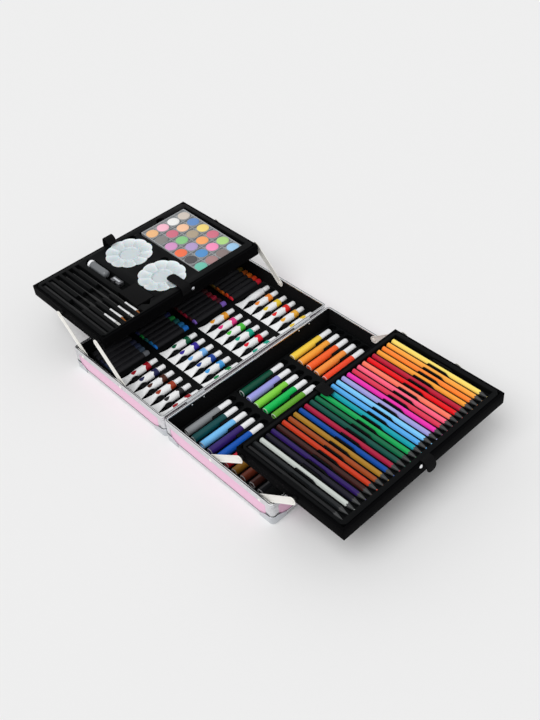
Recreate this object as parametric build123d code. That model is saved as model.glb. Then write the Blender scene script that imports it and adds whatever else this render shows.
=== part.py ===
from build123d import *
import os
from math import asin, atan2, cos, degrees, hypot, radians, sin

# Art set case with two shallow halves hinged along their long walls and a tray on parallel arms over each half.
# It lies open as in use: both halves flat, the right tray down on its stop, the left tray half way up.
# Millimetres. The origin is the centre of the right half's underside. +X runs from the hinge to the right
# half, +Y along the hinge from the near to the far end, +Z up. Every shape is first built in case coordinates:
# u = distance from the hinge line, v = distance from the near face, z = height over the table.
# The left half is built the same way and mirrored over the hinge line.

# Case halves
half_width = 238.0
half_length = 357.0
half_height = 42.0
hinge_gap = 4.0
corner_radius = 6.0
rim_height = 10.0
rim_cap = 2.0
rim_groove_inset = 1.9
rim_groove_width = 0.7
rim_groove_depth = 0.6
angle_height = 10.0
angle_foot = 9.0
foot_gap = 0.3
leg_thickness = 0.8
side_thickness = 2.6
floor_thickness = 2.0
lining_thickness = 0.6
post_width = 13.0

# Corner protectors
protector_thickness = 0.8
protector_height = 19.0
protector_flat = 10.0
protector_reach = 27.0
protector_end_height = 10.0

# Butt hinges
hinge_length = 36.0
hinge_near_inset = 47.0
hinge_far_inset = 44.0
hinge_leaf_thickness = 0.8
hinge_leaf_drop = 9.0
hinge_knuckle_radius = 1.8
hinge_pin_radius = 1.0
hinge_knuckle_gap = 0.2

# Arms and their pivots
arm_length = 79.0
arm_width = 13.0
arm_thickness = 1.5
arm_plane = 6.5
case_pivot_height = 34.5
outer_pivot_inset = 25.0
pivot_spacing = 104.5
pivot_radius = 2.0
collar_radius = 4.5
rivet_head_radius = 4.0
rivet_head_height = 1.1
rivet_face_radius = 3.6
rivet_face_height = 1.4
pivot_run = 0.05
stop_run = 0.1
left_arm_angle = 44.8

# Trays
tray_side_gap = 33.0
tray_end_gap = 13.0
tray_height = 20.5
tray_wall = 4.5
tray_floor = 3.0
tray_pivot_inset = 12.8
tray_pivot_height = 10.0
tray_pivot_depth = 3.5
insert_play = 0.3
insert_rise = 1.2
insert_corner = 5.0

# Coloured pencils
pencil_count = 28
pencil_first = 14.0
pencil_last_gap = 20.0
pencil_flats = 7.0
pencil_end_room = 39.0
pencil_cone = 11.0
pencil_lead = 2.5
pencil_lead_radius = 1.1
pencil_tip_radius = 0.4
pencil_start = 12.5
pencil_pocket_margins = (10.0, 13.0, 9.0, 11.0)
pencil_pocket_depth = 9.3
pencil_rib_gap = 8.4
pencil_rib_height = 3.0
grip_rib_start = 83.0
grip_rib_length = 44.0
grip_rib_height = 8.6

# Felt markers
marker_columns = 10
marker_pitch = 18.6
marker_first = 24.0
marker_rows = 3
marker_near_edge = 18.0
marker_far_edge = 8.0
marker_row_gap = 9.5
marker_lead_in = 3.0
marker_radius = 6.2
marker_cap_radius = 5.4
marker_cap = 25.0
marker_end_room = 11.0
marker_bay_play = 0.4
marker_insert_top = 15.0
marker_insert_edge = 14.0
marker_low_end = 15.0
marker_low_top = 8.0
moulding_floor = 0.4

# Paint tubes and crayons
tube_columns = 6
tube_first = 30.5
tube_to_crayon = 25.7
paint_rows = 4
paint_row_gap = 12.8
paint_far_edge = 9.6
tube_row_start = 19.0
tube_side_room = 7.3
tube_thickness = 12.4
tube_crimp_room = 1.9
tube_crimp_thickness = 1.6
tube_shoulder_cut = 3.8
tube_neck = 3.5
tube_cap_radius = 5.2
tube_cap = 12.0
tube_bay_play = 0.4
crayon_columns = 6
crayon_pitch = 12.5
crayon_outer_inset = 7.8
crayon_row_start = 23.0
crayon_radius = 6.1
crayon_row_gap = 13.3
crayon_end_play = 1.0
paint_insert_top = 12.5
paint_insert_edge = 10.0
paint_low_top = 7.0
paint_hollow_start = 22.0
paint_hollow_end = 7.0

# Things in the palette tray. Places are shares of the tray's width, from its outer edge, and of its length.
palette_share = 0.1193
palette_height = 9.0
palette_petals = 10
palette_petal_share = 0.279
palette_well_share = 0.167
palette_well_depth = 6.5
palette_hub_share = 0.468
palette_hub_depth = 7.5
palette_places = ((0.2634, 0.4985), (0.722, 0.4955))
palette_play = 1.2
finger_hole_radius = 7.5
finger_hole_turn = 43.2
finger_hole_reach = 1.11
paint_box_centre = (0.483, 0.7976)
paint_box_room = 39.0
paint_box_share = 0.296
paint_box_height = 8.5
paint_box_wall = 1.2
paint_box_play = 2.5
pan_columns = 6
pan_rows = 4
pan_edge = 2.0
pan_share = 0.389
pan_depth = 4.5
slot_places = (0.0423, 0.0846, 0.1254, 0.1662, 0.207, 0.2477)
slot_start = 12.0
slot_end_room = 8.0
slot_width = 8.4
grip_well_share = 0.41
grip_well_length = 36.0
accessory_start = 13.0
accessory_end_room = 14.0
accessory_place = 0.3142
accessory_width = 18.0
accessory_depth = 11.0
accessory_corner = 8.5
black_box_inset = 49.5
black_box_size = (51.0, 34.0, 10.0)
black_box_rise = 1.0
glue_tube_start = 23.0
glue_tube_length = 50.0
glue_tube_radius = 7.8
glue_cap_length = 6.0
glue_body_radius = 7.2
sharpener_place = 0.4035
sharpener_offset = 3.0
sharpener_size = (24.0, 11.0, 8.0)
sharpener_waist = 2.4
dark_pencil_end_gap = 2.0
brush_radius = 3.0
brush_handle_start = 14.0
brush_ferrule_insets = (53.0, 56.0, 52.0, 51.0)
brush_ferrule_length = 30.0
brush_tuft_length = 12.0
brush_tuft_radius = 2.4

# Straps
strap_width = 18.0
strap_thickness = 1.6
strap_drop = 10.0
strap_run = 0.2
pencil_strap_place = 0.4864
pencil_strap_reach = 28.0
pencil_outer_strap_reach = 9.0
palette_strap_place = 0.5136
palette_strap_reach = 42.0
palette_outer_strap_place = 0.4773
palette_outer_strap_reach = 8.0
snap_end_gap = 8.0
snap_radius = 5.0
snap_height = 1.2

# Handle and latches on the outer wall of the right half
handle_span = 110.0
handle_arm_width = 8.0
handle_thickness = 9.0
handle_grip_height = 9.0
handle_reach = 20.0
handle_pivot_out = 7.0
handle_pivot_height = 27.0
handle_corner_cut = 3.0
handle_pin_radius = 2.0
handle_pin_head_radius = 3.5
handle_pin_head = 1.0
bracket_length = 10.0
bracket_height = 17.0
bracket_thickness = 1.5
bracket_boss_radius = 4.5
bracket_ledge = 5.0
fit_run = 0.05
side_run = 0.3
latch_inset = 68.5
latch_width = 24.0
latch_ear = 4.0
latch_plate_height = 18.0
latch_plate_thickness = 1.2
latch_pivot_out = 4.0
latch_pivot_height = 28.0
latch_reach = 25.0
latch_hasp_thickness = 1.4
latch_pin_radius = 1.2
latch_barrel_radius = 2.4
latch_window = (12.0, 6.0)
latch_window_edge = 3.0
strike_height = 8.0
strike_nose = 3.5
strike_nose_height = 3.0
strike_edge = 1.0

# What follows from the sizes above
wall_u = hinge_gap / 2
hinge_to_centre = wall_u + half_width / 2
wall_thickness = leg_thickness + side_thickness + lining_thickness
board_corner_cut = (corner_radius - leg_thickness) * (2 - 2**0.5)
tray_width = half_width - tray_side_gap
tray_length = half_length - 2 * tray_end_gap
wall_hole_radius = (pivot_radius + pivot_run) / cos(radians(30))
outer_face = wall_u + half_width
outer_wall = outer_face - wall_thickness
panel_face = outer_face - leg_thickness
rim_bottom = half_height - rim_height
panel_top = half_height - rim_cap
floor_bottom = protector_thickness + leg_thickness
floor_top = floor_bottom + floor_thickness
lining_top = floor_top + lining_thickness
bay_floor = lining_top + moulding_floor
outer_case_pivot = outer_face - outer_pivot_inset
inner_case_pivot = outer_case_pivot - pivot_spacing
arm_near_face = arm_plane - arm_thickness / 2
arm_far_face = arm_plane + arm_thickness / 2
hinge_places = (hinge_near_inset, half_length - hinge_far_inset - hinge_length)
latch_places = (latch_inset, half_length - latch_inset)
pencil_pitch = (tray_length - pencil_first - pencil_last_gap) / (pencil_count - 1)
pencil_rib_width = pencil_pitch - pencil_rib_gap
pencil_barrel = tray_width - pencil_end_room
marker_span = half_length - marker_near_edge - marker_far_edge
marker_bay_length = (marker_span - marker_row_gap * (marker_rows - 1)) / marker_rows
marker_barrel = marker_bay_length - marker_lead_in - marker_cap - marker_end_room
marker_low_length = marker_barrel - marker_low_end
marker_row_starts = [marker_near_edge + (marker_bay_length + marker_row_gap) * i for i in range(marker_rows)]
paint_row_pitch = (half_length - tube_row_start - paint_far_edge + paint_row_gap) / paint_rows
tube_body = paint_row_pitch - paint_row_gap - tube_neck - tube_cap
crayon_length = paint_row_pitch - crayon_row_gap
paint_hollow_length = tube_body - paint_hollow_start - paint_hollow_end
crayon_first = outer_wall - crayon_outer_inset - crayon_pitch * (crayon_columns - 1)
tube_pitch = (crayon_first - tube_to_crayon - tube_first) / (tube_columns - 1)
tube_width = tube_pitch - tube_side_room
tube_crimp_width = tube_pitch - tube_crimp_room

# The arm rests with its lower edge on the inner edge of the outer rim, which is the stop of the swing.
stop_rise = half_height - case_pivot_height
stop_out = outer_wall - outer_case_pivot
stop_reach = arm_width / 2 + stop_run
right_arm_angle = degrees(atan2(stop_rise, stop_out) + asin(stop_reach / hypot(stop_rise, stop_out)))

os.makedirs("parts", exist_ok=True)
to_case = Pos(-hinge_to_centre, -half_length / 2, 0)


def save_right(name, shape):
    placed = [to_case * solid for solid in shape.solids()]
    export_step(Compound(placed), f"parts/{name}.step")


def save_left(name, shape):
    save_right(name, Compound([solid.mirror(Plane.YZ) for solid in shape.solids()]))


def group(solids):
    return Compound(list(solids))


def slab(u0, u1, v0, v1, z0, z1):
    centre = Pos((u0 + u1) / 2, (v0 + v1) / 2, (z0 + z1) / 2)
    return centre * Box(u1 - u0, v1 - v0, z1 - z0)


def cut_slab(u0, u1, v0, v1, z0, z1, cut):
    outline = Pos((u0 + u1) / 2, (v0 + v1) / 2, z0) * chamfered_rectangle(u1 - u0, v1 - v0, cut)
    return extrude(outline, z1 - z0)


def rod_along_v(radius, u, z, v0, v1):
    return Pos(u, (v0 + v1) / 2, z) * Rot(90, 0, 0) * Cylinder(radius, v1 - v0)


# What repeats many times is a many-sided bar instead of a round one. The radius is to its corners.
def bar_along_v(sides, radius, u, z, v0, v1):
    return Pos(u, v1, z) * Rot(90, 0, 0) * extrude(RegularPolygon(radius, sides), v1 - v0)


def bar_along_u(sides, radius, v, z, u0, u1):
    return Pos(u0, v, z) * Rot(0, 90, 0) * extrude(RegularPolygon(radius, sides), u1 - u0)


def around(sides, radius):
    return RegularPolygon(radius, sides, major_radius=False)


def chamfered_rectangle(width, length, cut):
    return chamfer(Rectangle(width, length).vertices(), cut)


def far_end(shape):
    return shape.mirror(Plane.XZ.offset(-half_length / 2))


# The aluminium frame of a half has round outer corners. Inside them the boards have cut corners.
def half_centre(z):
    return Pos(hinge_to_centre, half_length / 2, z)


def outer_outline(z):
    return half_centre(z) * RectangleRounded(half_width, half_length, corner_radius)


def inner_outline(inset, z):
    return half_centre(z) * Rectangle(half_width - 2 * inset, half_length - 2 * inset)


def board_outline(z):
    inset = leg_thickness
    width = half_width - 2 * inset
    return half_centre(z) * chamfered_rectangle(width, half_length - 2 * inset, board_corner_cut)


def inner_ring(outer_inset, inner_inset, z0, z1):
    return extrude(inner_outline(outer_inset, z0) - inner_outline(inner_inset, z0), z1 - z0)


def outer_ring(inner_face, z0, z1):
    return extrude(outer_outline(z0) - inner_face, z1 - z0)


def pivot_holes():
    holes = []
    for u in (inner_case_pivot, outer_case_pivot):
        hole = bar_along_v(6, wall_hole_radius, u, case_pivot_height, -1, wall_thickness + 1)
        holes.append(hole)
        holes.append(far_end(hole))
    return holes


def rim_extrusion():
    rim = outer_ring(board_outline(rim_bottom), rim_bottom, panel_top)
    rim += outer_ring(inner_outline(wall_thickness, panel_top), panel_top, half_height)
    groove_inner = rim_groove_inset + rim_groove_width
    rim -= inner_ring(rim_groove_inset, groove_inner, half_height - rim_groove_depth, half_height)
    return rim - pivot_holes()


def bottom_angle():
    leg = outer_ring(board_outline(floor_bottom), floor_bottom, angle_height)
    return leg + outer_ring(inner_outline(angle_foot, protector_thickness), protector_thickness, floor_bottom)


def corner_mask(reach, margin):
    low_u = slab(wall_u - margin, wall_u + reach, -margin, half_length + margin, 0, half_height)
    high_u = slab(outer_face - reach, outer_face + margin, -margin, half_length + margin, 0, half_height)
    low_v = slab(wall_u - margin, outer_face + margin, -margin, reach, 0, half_height)
    return (low_u + high_u) & (low_v + far_end(low_v))


def corner_posts():
    shell = outer_ring(board_outline(angle_height), angle_height, rim_bottom)
    return shell & corner_mask(post_width, 1)


# A protector wraps its corner from below: flat top near the corner, then a slant down to its short end.
def protector_profile(start, direction):
    corner = start - direction * protector_thickness
    points = [
        (corner, 0),
        (start + direction * protector_reach, 0),
        (start + direction * protector_reach, protector_end_height),
        (start + direction * protector_flat, protector_height),
        (corner, protector_height),
    ]
    return points


def corner_protectors():
    grown = RectangleRounded(
        half_width + 2 * protector_thickness,
        half_length + 2 * protector_thickness,
        corner_radius + protector_thickness,
    )
    shell = extrude(Pos(hinge_to_centre, half_length / 2, 0) * grown, protector_height)
    shell -= extrude(outer_outline(protector_thickness), protector_height)
    shell -= extrude(inner_outline(angle_foot, 0), protector_thickness)
    across = Sketch()
    for start, direction in ((wall_u, 1), (outer_face, -1)):
        across += Plane.XZ * make_face(Polyline(protector_profile(start, direction), close=True))
    along = Sketch()
    for start, direction in ((0, 1), (half_length, -1)):
        along += Plane.YZ * make_face(Polyline(protector_profile(start, direction), close=True))
    margin = 2 * protector_thickness
    mask_across = Pos(0, half_length + margin, 0) * extrude(across, half_length + 2 * margin)
    mask_along = extrude(along, outer_face + margin)
    return shell & mask_across & mask_along


def side_panels():
    inner = leg_thickness + side_thickness
    ring = extrude(board_outline(floor_top) - inner_outline(inner, floor_top), panel_top - floor_top)
    ring -= pivot_holes()
    hinge_side = ring & slab(wall_u, wall_u + inner, 0, half_length, 0, half_height)
    outer_side = ring & slab(outer_face - inner, outer_face, 0, half_length, 0, half_height)
    short_sides = ring - hinge_side - outer_side
    return group([hinge_side.solid(), outer_side.solid(), *short_sides.solids()])


# The floor board is rebated over the angle's foot, so its underside lies level with the protectors.
def floor_panel():
    board = extrude(board_outline(floor_bottom), floor_thickness)
    return board + extrude(inner_outline(angle_foot + foot_gap, 0), floor_bottom)


def lining():
    outer = leg_thickness + side_thickness
    tub = extrude(inner_outline(outer, floor_top), panel_top - floor_top)
    tub -= extrude(inner_outline(wall_thickness, lining_top), panel_top - lining_top)
    return tub - pivot_holes()


def save_case_shell(prefix, save):
    save(f"{prefix}_side_panels", side_panels())
    save(f"{prefix}_floor_panel", floor_panel())
    save(f"{prefix}_lining", lining())
    save(f"{prefix}_rim_extrusion", rim_extrusion())
    save(f"{prefix}_bottom_angle", bottom_angle())
    save(f"{prefix}_corner_posts", group(corner_posts().solids()))
    save(f"{prefix}_corner_protectors", group(corner_protectors().solids()))


# Butt hinges. The pin lies at rim height midway between the halves, so the rims meet when the case is shut.
def knuckle_spans(start):
    third = (hinge_length - 2 * hinge_knuckle_gap) / 3
    step = third + hinge_knuckle_gap
    return [(start + step * i, start + step * i + third) for i in range(3)]


def hinge_leaf(start, own_knuckles):
    leaf_top = half_height - hinge_knuckle_radius - hinge_knuckle_gap
    leaf_inner = wall_u - hinge_leaf_thickness
    leaf = slab(leaf_inner, wall_u, start, start + hinge_length, half_height - hinge_leaf_drop, leaf_top)
    spans = knuckle_spans(start)
    for i in own_knuckles:
        v0, v1 = spans[i]
        leaf += slab(leaf_inner, wall_u, v0, v1, leaf_top, half_height)
        leaf += bar_along_v(12, hinge_knuckle_radius, 0, half_height, v0, v1)
    bore_radius = (hinge_pin_radius + fit_run) / cos(radians(15))
    bore = bar_along_v(12, bore_radius, 0, half_height, start - 1, start + hinge_length + 1)
    return (leaf - bore).solid()


def save_hinges():
    save_right("right_hinge_leaves", group([hinge_leaf(start, (0, 2)) for start in hinge_places]))
    save_left("left_hinge_leaves", group([hinge_leaf(start, (1,)) for start in hinge_places]))
    pins = [rod_along_v(hinge_pin_radius, 0, half_height, v, v + hinge_length) for v in hinge_places]
    save_right("hinge_pins", group(pins))


# Arms: flat bars with round ends, turned up about their case pivots. All four of a half share one plane
# at each end. The tray stays level, because its pivots are as far apart as the case pivots.
def tray_pivot(case_pivot, angle):
    lift = radians(angle)
    return case_pivot + arm_length * cos(lift), case_pivot_height + arm_length * sin(lift)


def arm(case_pivot, angle):
    tray_end = Pos(arm_length, 0, 0)
    outline = Pos(arm_length / 2, 0, 0) * Rectangle(arm_length, arm_width)
    outline += around(10, arm_width / 2) + tray_end * around(10, arm_width / 2)
    outline -= around(8, pivot_radius + pivot_run) + tray_end * around(8, pivot_radius + pivot_run)
    bar = Pos(0, arm_far_face, 0) * Rot(90, 0, 0) * extrude(outline, arm_thickness)
    return Pos(case_pivot, 0, case_pivot_height) * Rot(0, -angle, 0) * bar


def arm_pair(case_pivot, angle):
    near = arm(case_pivot, angle)
    return group([near.solid(), far_end(near).solid()])


def case_rivet(u):
    z = case_pivot_height
    rivet = bar_along_v(6, rivet_face_radius, u, z, -rivet_face_height, 0)
    rivet += bar_along_v(8, pivot_radius, u, z, 0, arm_far_face + pivot_run)
    rivet += bar_along_v(6, collar_radius, u, z, wall_thickness, arm_near_face - pivot_run)
    head = arm_far_face + pivot_run
    rivet += bar_along_v(6, rivet_head_radius, u, z, head, head + rivet_head_height)
    return rivet.solid()


def tray_rivet(u, z):
    head = arm_near_face - pivot_run
    rivet = bar_along_v(6, rivet_head_radius, u, z, head - rivet_head_height, head)
    rivet += bar_along_v(8, pivot_radius, u, z, head, tray_end_gap + tray_pivot_depth)
    rivet += bar_along_v(6, rivet_head_radius, u, z, arm_far_face + pivot_run, tray_end_gap)
    return rivet.solid()


def both_ends(solids):
    return group([*solids, *[far_end(solid).solid() for solid in solids]])


def save_linkage(side, save, angle):
    save(f"{side}_inner_arms", arm_pair(inner_case_pivot, angle))
    save(f"{side}_outer_arms", arm_pair(outer_case_pivot, angle))
    save(f"{side}_case_rivets", both_ends([case_rivet(inner_case_pivot), case_rivet(outer_case_pivot)]))
    pivots = [tray_pivot(inner_case_pivot, angle), tray_pivot(outer_case_pivot, angle)]
    save(f"{side}_tray_rivets", both_ends([tray_rivet(u, z) for u, z in pivots]))


# Trays. Tray coordinates are a from the inner edge, b from the near end and z from the tray's underside.
def tray_place(angle):
    u, z = tray_pivot(inner_case_pivot, angle)
    return Pos(u - tray_pivot_inset, tray_end_gap, z - tray_pivot_height)


def tray_box():
    box = slab(0, tray_width, 0, tray_length, 0, tray_height)
    wall = tray_wall
    box -= slab(wall, tray_width - wall, wall, tray_length - wall, tray_floor, tray_height)
    depth = tray_pivot_depth + pivot_run
    for a in (tray_pivot_inset, tray_pivot_inset + pivot_spacing):
        box -= bar_along_v(6, wall_hole_radius, a, tray_pivot_height, 0, depth)
        box -= bar_along_v(6, wall_hole_radius, a, tray_pivot_height, tray_length - depth, tray_length)
    return box


insert_edge = tray_wall + insert_play
insert_top = tray_height + insert_rise


def tray_insert_blank():
    far_a = tray_width - insert_edge
    far_b = tray_length - insert_edge
    return cut_slab(insert_edge, far_a, insert_edge, far_b, tray_floor, insert_top, insert_corner)


# A strap is a flat band fixed to a wall's outer face, bent over the edge and lying on the insert.
def strap_band(edge_offset, centre, reach):
    low = tray_height - strap_drop
    over = insert_top + strap_run
    outline = Polyline(
        (edge_offset, low),
        (edge_offset - strap_thickness, low),
        (edge_offset - strap_thickness, over + strap_thickness),
        (reach, over + strap_thickness),
        (reach, over),
        (edge_offset, over),
        close=True,
    )
    band = extrude(Plane.XZ * make_face(outline), strap_width)
    return Pos(0, centre + strap_width / 2, 0) * band


def snap_on_top(a, b):
    over = insert_top + strap_run + strap_thickness
    return Pos(a, b, over) * extrude(around(12, snap_radius), snap_height)


# Pencil tray
def pencil_insert():
    margin_a0, margin_a1, b0, margin_b1 = pencil_pocket_margins
    a0, a1, b1 = margin_a0, tray_width - margin_a1, tray_length - margin_b1
    pocket_floor = insert_top - pencil_pocket_depth
    insert = tray_insert_blank() - slab(a0, a1, b0, b1, pocket_floor, insert_top)
    for i in range(pencil_count + 1):
        b = pencil_first + pencil_pitch * (i - 0.5)
        low = max(b - pencil_rib_width / 2, b0)
        high = min(b + pencil_rib_width / 2, b1)
        insert += slab(a0, a1, low, high, pocket_floor, pocket_floor + pencil_rib_height)
        grip_end = grip_rib_start + grip_rib_length
        insert += slab(grip_rib_start, grip_end, low, high, pocket_floor, pocket_floor + grip_rib_height)
    return insert


def hexagon(flats):
    return Rot(0, 0, 30) * RegularPolygon(flats / 2, 6, major_radius=False)


def pencil(b, floor):
    barrel = extrude(hexagon(pencil_flats), pencil_barrel)
    cone_taper = degrees(atan2(pencil_flats / 2 - pencil_lead_radius, pencil_cone))
    cone = Pos(0, 0, pencil_barrel) * extrude(hexagon(pencil_flats), pencil_cone, taper=cone_taper)
    lead_taper = degrees(atan2(pencil_lead_radius - pencil_tip_radius, pencil_lead))
    lead = extrude(hexagon(2 * pencil_lead_radius), pencil_lead, taper=lead_taper)
    lead = Pos(0, 0, pencil_barrel + pencil_cone) * lead
    turned = Rot(0, 90, 0) * (barrel + cone + lead)
    return (Pos(pencil_start, b, floor + pencil_flats / 2) * turned).solid()


def save_pencil_tray():
    place = tray_place(right_arm_angle)
    save_right("pencil_tray_box", place * tray_box())
    save_right("pencil_tray_insert", place * pencil_insert())
    floor = insert_top - pencil_pocket_depth
    row = [place * pencil(pencil_first + pencil_pitch * i, floor) for i in range(pencil_count)]
    save_right("coloured_pencils", group(row))
    save_right("pencil_tray_straps", group([place * solid for solid in pencil_straps()]))


def pencil_straps():
    b = pencil_strap_place * tray_length
    inner = strap_band(0, b, pencil_strap_reach) + snap_on_top(pencil_strap_reach - snap_end_gap, b)
    outer = far_side(strap_band(0, b, pencil_outer_strap_reach))
    return [inner.solid(), outer.solid()]


def far_side(shape):
    return shape.mirror(Plane.YZ.offset(tray_width / 2))


# Marker insert: bays with a round far end, tall walls beside the caps and low walls beside the barrels.
def marker_columns_u():
    return [marker_first + marker_pitch * i for i in range(marker_columns)]


def marker_insert():
    top = marker_insert_top
    far_u = outer_wall - insert_play
    near_v = wall_thickness + insert_play
    far_v = half_length - near_v
    insert = cut_slab(marker_insert_edge, far_u, near_v, far_v, lining_top, top, insert_corner)
    bay_radius = marker_radius + marker_bay_play
    low_cuts = Sketch()
    bays = Sketch()
    for start in marker_row_starts:
        first_u = marker_first - bay_radius
        last_u = marker_columns_u()[-1] + bay_radius
        low_end = start + marker_low_length
        low_centre = Pos((first_u + last_u) / 2, (start + low_end) / 2)
        low_cuts += low_centre * Rectangle(last_u - first_u, marker_low_length)
        straight = marker_bay_length - bay_radius
        for u in marker_columns_u():
            bays += Pos(u, start + straight / 2) * Rectangle(2 * bay_radius, straight)
            bays += Pos(u, start + straight) * around(8, bay_radius)
    insert -= Pos(0, 0, marker_low_top) * extrude(low_cuts, top - marker_low_top)
    insert -= Pos(0, 0, bay_floor) * extrude(bays, top - bay_floor)
    return insert


def marker(u, start):
    z = bay_floor + marker_radius
    near = start + marker_lead_in
    barrel_end = near + marker_barrel
    body = bar_along_v(8, marker_radius, u, z, near, barrel_end)
    body += bar_along_v(6, marker_cap_radius, u, z, barrel_end, barrel_end + marker_cap)
    return body.solid()


def save_markers():
    save_right("marker_insert", marker_insert())
    for name, start in zip(("near", "middle", "far"), marker_row_starts):
        save_right(f"markers_{name}_row", group([marker(u, start) for u in marker_columns_u()]))


# Paint insert: tube bays with a narrow end for the cap, a hollow under each row for the fingers, and a
# shallow bed for each row of crayons.
def paint_starts(first):
    return [first + paint_row_pitch * i for i in range(paint_rows)]


def tube_columns_u():
    return [tube_first + tube_pitch * i for i in range(tube_columns)]


def crayon_columns_u():
    return [crayon_first + crayon_pitch * i for i in range(crayon_columns)]


def paint_insert():
    top = paint_insert_top
    far_u = outer_wall - insert_play
    near_v = wall_thickness + insert_play
    far_v = half_length - near_v
    insert = cut_slab(paint_insert_edge, far_u, near_v, far_v, lining_top, top, insert_corner)
    half_bay = tube_width / 2 + tube_bay_play
    half_crimp = tube_crimp_width / 2 + tube_bay_play
    cap_half = tube_cap_radius + tube_bay_play
    first_u = tube_columns_u()[0] - half_crimp
    last_u = tube_columns_u()[-1] + half_crimp
    for start in paint_starts(tube_row_start):
        body_end = start + tube_body + tube_bay_play
        cap_end = body_end + tube_neck + tube_cap + tube_bay_play
        insert -= slab(first_u, last_u, start - tube_bay_play, body_end, paint_low_top, top)
        hollow = start + paint_hollow_start
        insert -= slab(first_u, last_u, hollow, hollow + paint_hollow_length, bay_floor, paint_low_top)
        for u in tube_columns_u():
            insert -= slab(u - half_bay, u + half_bay, start - tube_bay_play, body_end, bay_floor, top)
            insert -= slab(u - cap_half, u + cap_half, body_end, cap_end, bay_floor, top)
    bed_near = crayon_columns_u()[0] - crayon_radius - crayon_end_play
    bed_far = crayon_columns_u()[-1] + crayon_radius + crayon_end_play
    for start in paint_starts(crayon_row_start):
        v0 = start - crayon_end_play
        v1 = start + crayon_length + crayon_end_play
        insert -= slab(bed_near, bed_far, v0, v1, bay_floor, top)
    return insert


# A tube is thick at its shoulder and pressed flat at the crimp. Each of its eight long faces is flat,
# because the two end sections have parallel edges.
def eight_points(width, thickness, cut, v):
    x, z = width / 2, thickness / 2
    quarter = [(x - cut, z), (x, z - cut)]
    right = quarter + [(a, -b) for a, b in reversed(quarter)]
    around_all = right + [(-a, -b) for a, b in right]
    return [(a, v, b) for a, b in around_all]


def flat_face(points):
    return make_face(Polyline(*points, close=True)).face()


def tube_body_solid():
    crimp = eight_points(tube_crimp_width, tube_crimp_thickness, tube_crimp_thickness / 4, 0)
    shoulder = eight_points(tube_width, tube_thickness, tube_shoulder_cut, tube_body)
    faces = [flat_face(crimp), flat_face(shoulder)]
    for i in range(8):
        j = (i + 1) % 8
        faces.append(flat_face([crimp[i], crimp[j], shoulder[j], shoulder[i]]))
    return Solid(Shell(faces))


def paint_tube(body, u, start):
    axis = bay_floor + tube_thickness / 2
    end = tube_body + tube_neck + tube_cap
    cap = bar_along_v(6, tube_cap_radius, 0, 0, tube_body, end)
    return (Pos(u, start, axis) * (body + cap)).solid()


def crayon(u, start):
    reach = start + crayon_length
    return bar_along_v(8, crayon_radius, u, bay_floor + crayon_radius, start, reach).solid()


def save_paints():
    save_left("paint_insert", paint_insert())
    body = tube_body_solid()
    for row, start in enumerate(paint_starts(tube_row_start), 1):
        tubes = [paint_tube(body, u, start) for u in tube_columns_u()]
        save_left(f"paint_tubes_row_{row}", group(tubes))
    starts = paint_starts(crayon_row_start)
    save_left("crayons", group([crayon(u, start) for start in starts for u in crayon_columns_u()]))


# Palette tray. Its things are placed from the outer edge, so a = tray width - that distance.
def from_outer(distance):
    return tray_width - distance


slot_floor = insert_top - pencil_pocket_depth
palette_radius = palette_share * tray_length
palette_petal_radius = palette_petal_share * palette_radius
palette_ring = palette_radius - palette_petal_radius
paint_box_width = tray_width - paint_box_room
paint_box_length = paint_box_share * tray_length
pan_pitch_across = (paint_box_width - 2 * pan_edge) / pan_columns
pan_pitch_along = (paint_box_length - pan_edge / 2) / pan_rows
pan_radius = pan_share * pan_pitch_across
slot_end = tray_width - slot_end_room
black_box_place = tray_width - black_box_inset
accessory_centre = accessory_place * tray_length


def tray_spot(share_across, share_along, z):
    return Pos(from_outer(share_across * tray_width), share_along * tray_length, z)


def petal_places():
    turns = [radians(360 / palette_petals * i) for i in range(palette_petals)]
    return [Pos(palette_ring * cos(turn), palette_ring * sin(turn)) for turn in turns]


def palette_dish():
    outline = around(palette_petals, palette_ring)
    for place in petal_places():
        outline += place * around(6, palette_petal_radius)
    dish = extrude(outline, palette_height)
    hub = extrude(around(2 * palette_petals, palette_hub_share * palette_radius), palette_height)
    dish -= Pos(0, 0, palette_height - palette_hub_depth) * hub
    well = Pos(0, 0, palette_height - palette_well_depth) * extrude(
        around(6, palette_well_share * palette_radius), palette_height
    )
    for place in petal_places():
        dish -= place * well
    return dish


def pocket_in_tray(a, b, width, length, depth):
    return slab(a - width / 2, a + width / 2, b - length / 2, b + length / 2, insert_top - depth, insert_top)


def palette_insert():
    insert = tray_insert_blank()
    top = insert_top
    turn = radians(180 - finger_hole_turn)
    reach = finger_hole_reach * palette_radius
    for across, along in palette_places:
        pocket = around(2 * palette_petals, palette_radius + palette_play)
        hole = Pos(-reach * cos(turn), reach * sin(turn)) * around(8, finger_hole_radius)
        insert -= tray_spot(across, along, top - palette_height) * extrude(pocket + hole, palette_height)
    a = from_outer(paint_box_centre[0] * tray_width)
    b = paint_box_centre[1] * tray_length
    play = 2 * paint_box_play
    insert -= pocket_in_tray(a, b, paint_box_width + play, paint_box_length + play, paint_box_height)
    low_a = accessory_end_room
    high_a = from_outer(accessory_start)
    low_b = accessory_centre - accessory_width / 2
    high_b = accessory_centre + accessory_width / 2
    insert -= cut_slab(low_a, high_a, low_b, high_b, top - accessory_depth, top, accessory_corner)
    length, width, depth = black_box_size
    play = 2 * palette_play
    insert -= pocket_in_tray(from_outer(black_box_place), accessory_centre, length + play, width + play, depth)
    slots = [share * tray_length for share in slot_places]
    for b in slots:
        low = b - slot_width / 2
        insert -= slab(from_outer(slot_end), from_outer(slot_start), low, low + slot_width, slot_floor, top)
    well_end = from_outer(grip_well_share * tray_width)
    insert -= slab(well_end - grip_well_length, well_end, slots[0], slots[-1], slot_floor, top)
    return insert


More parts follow.
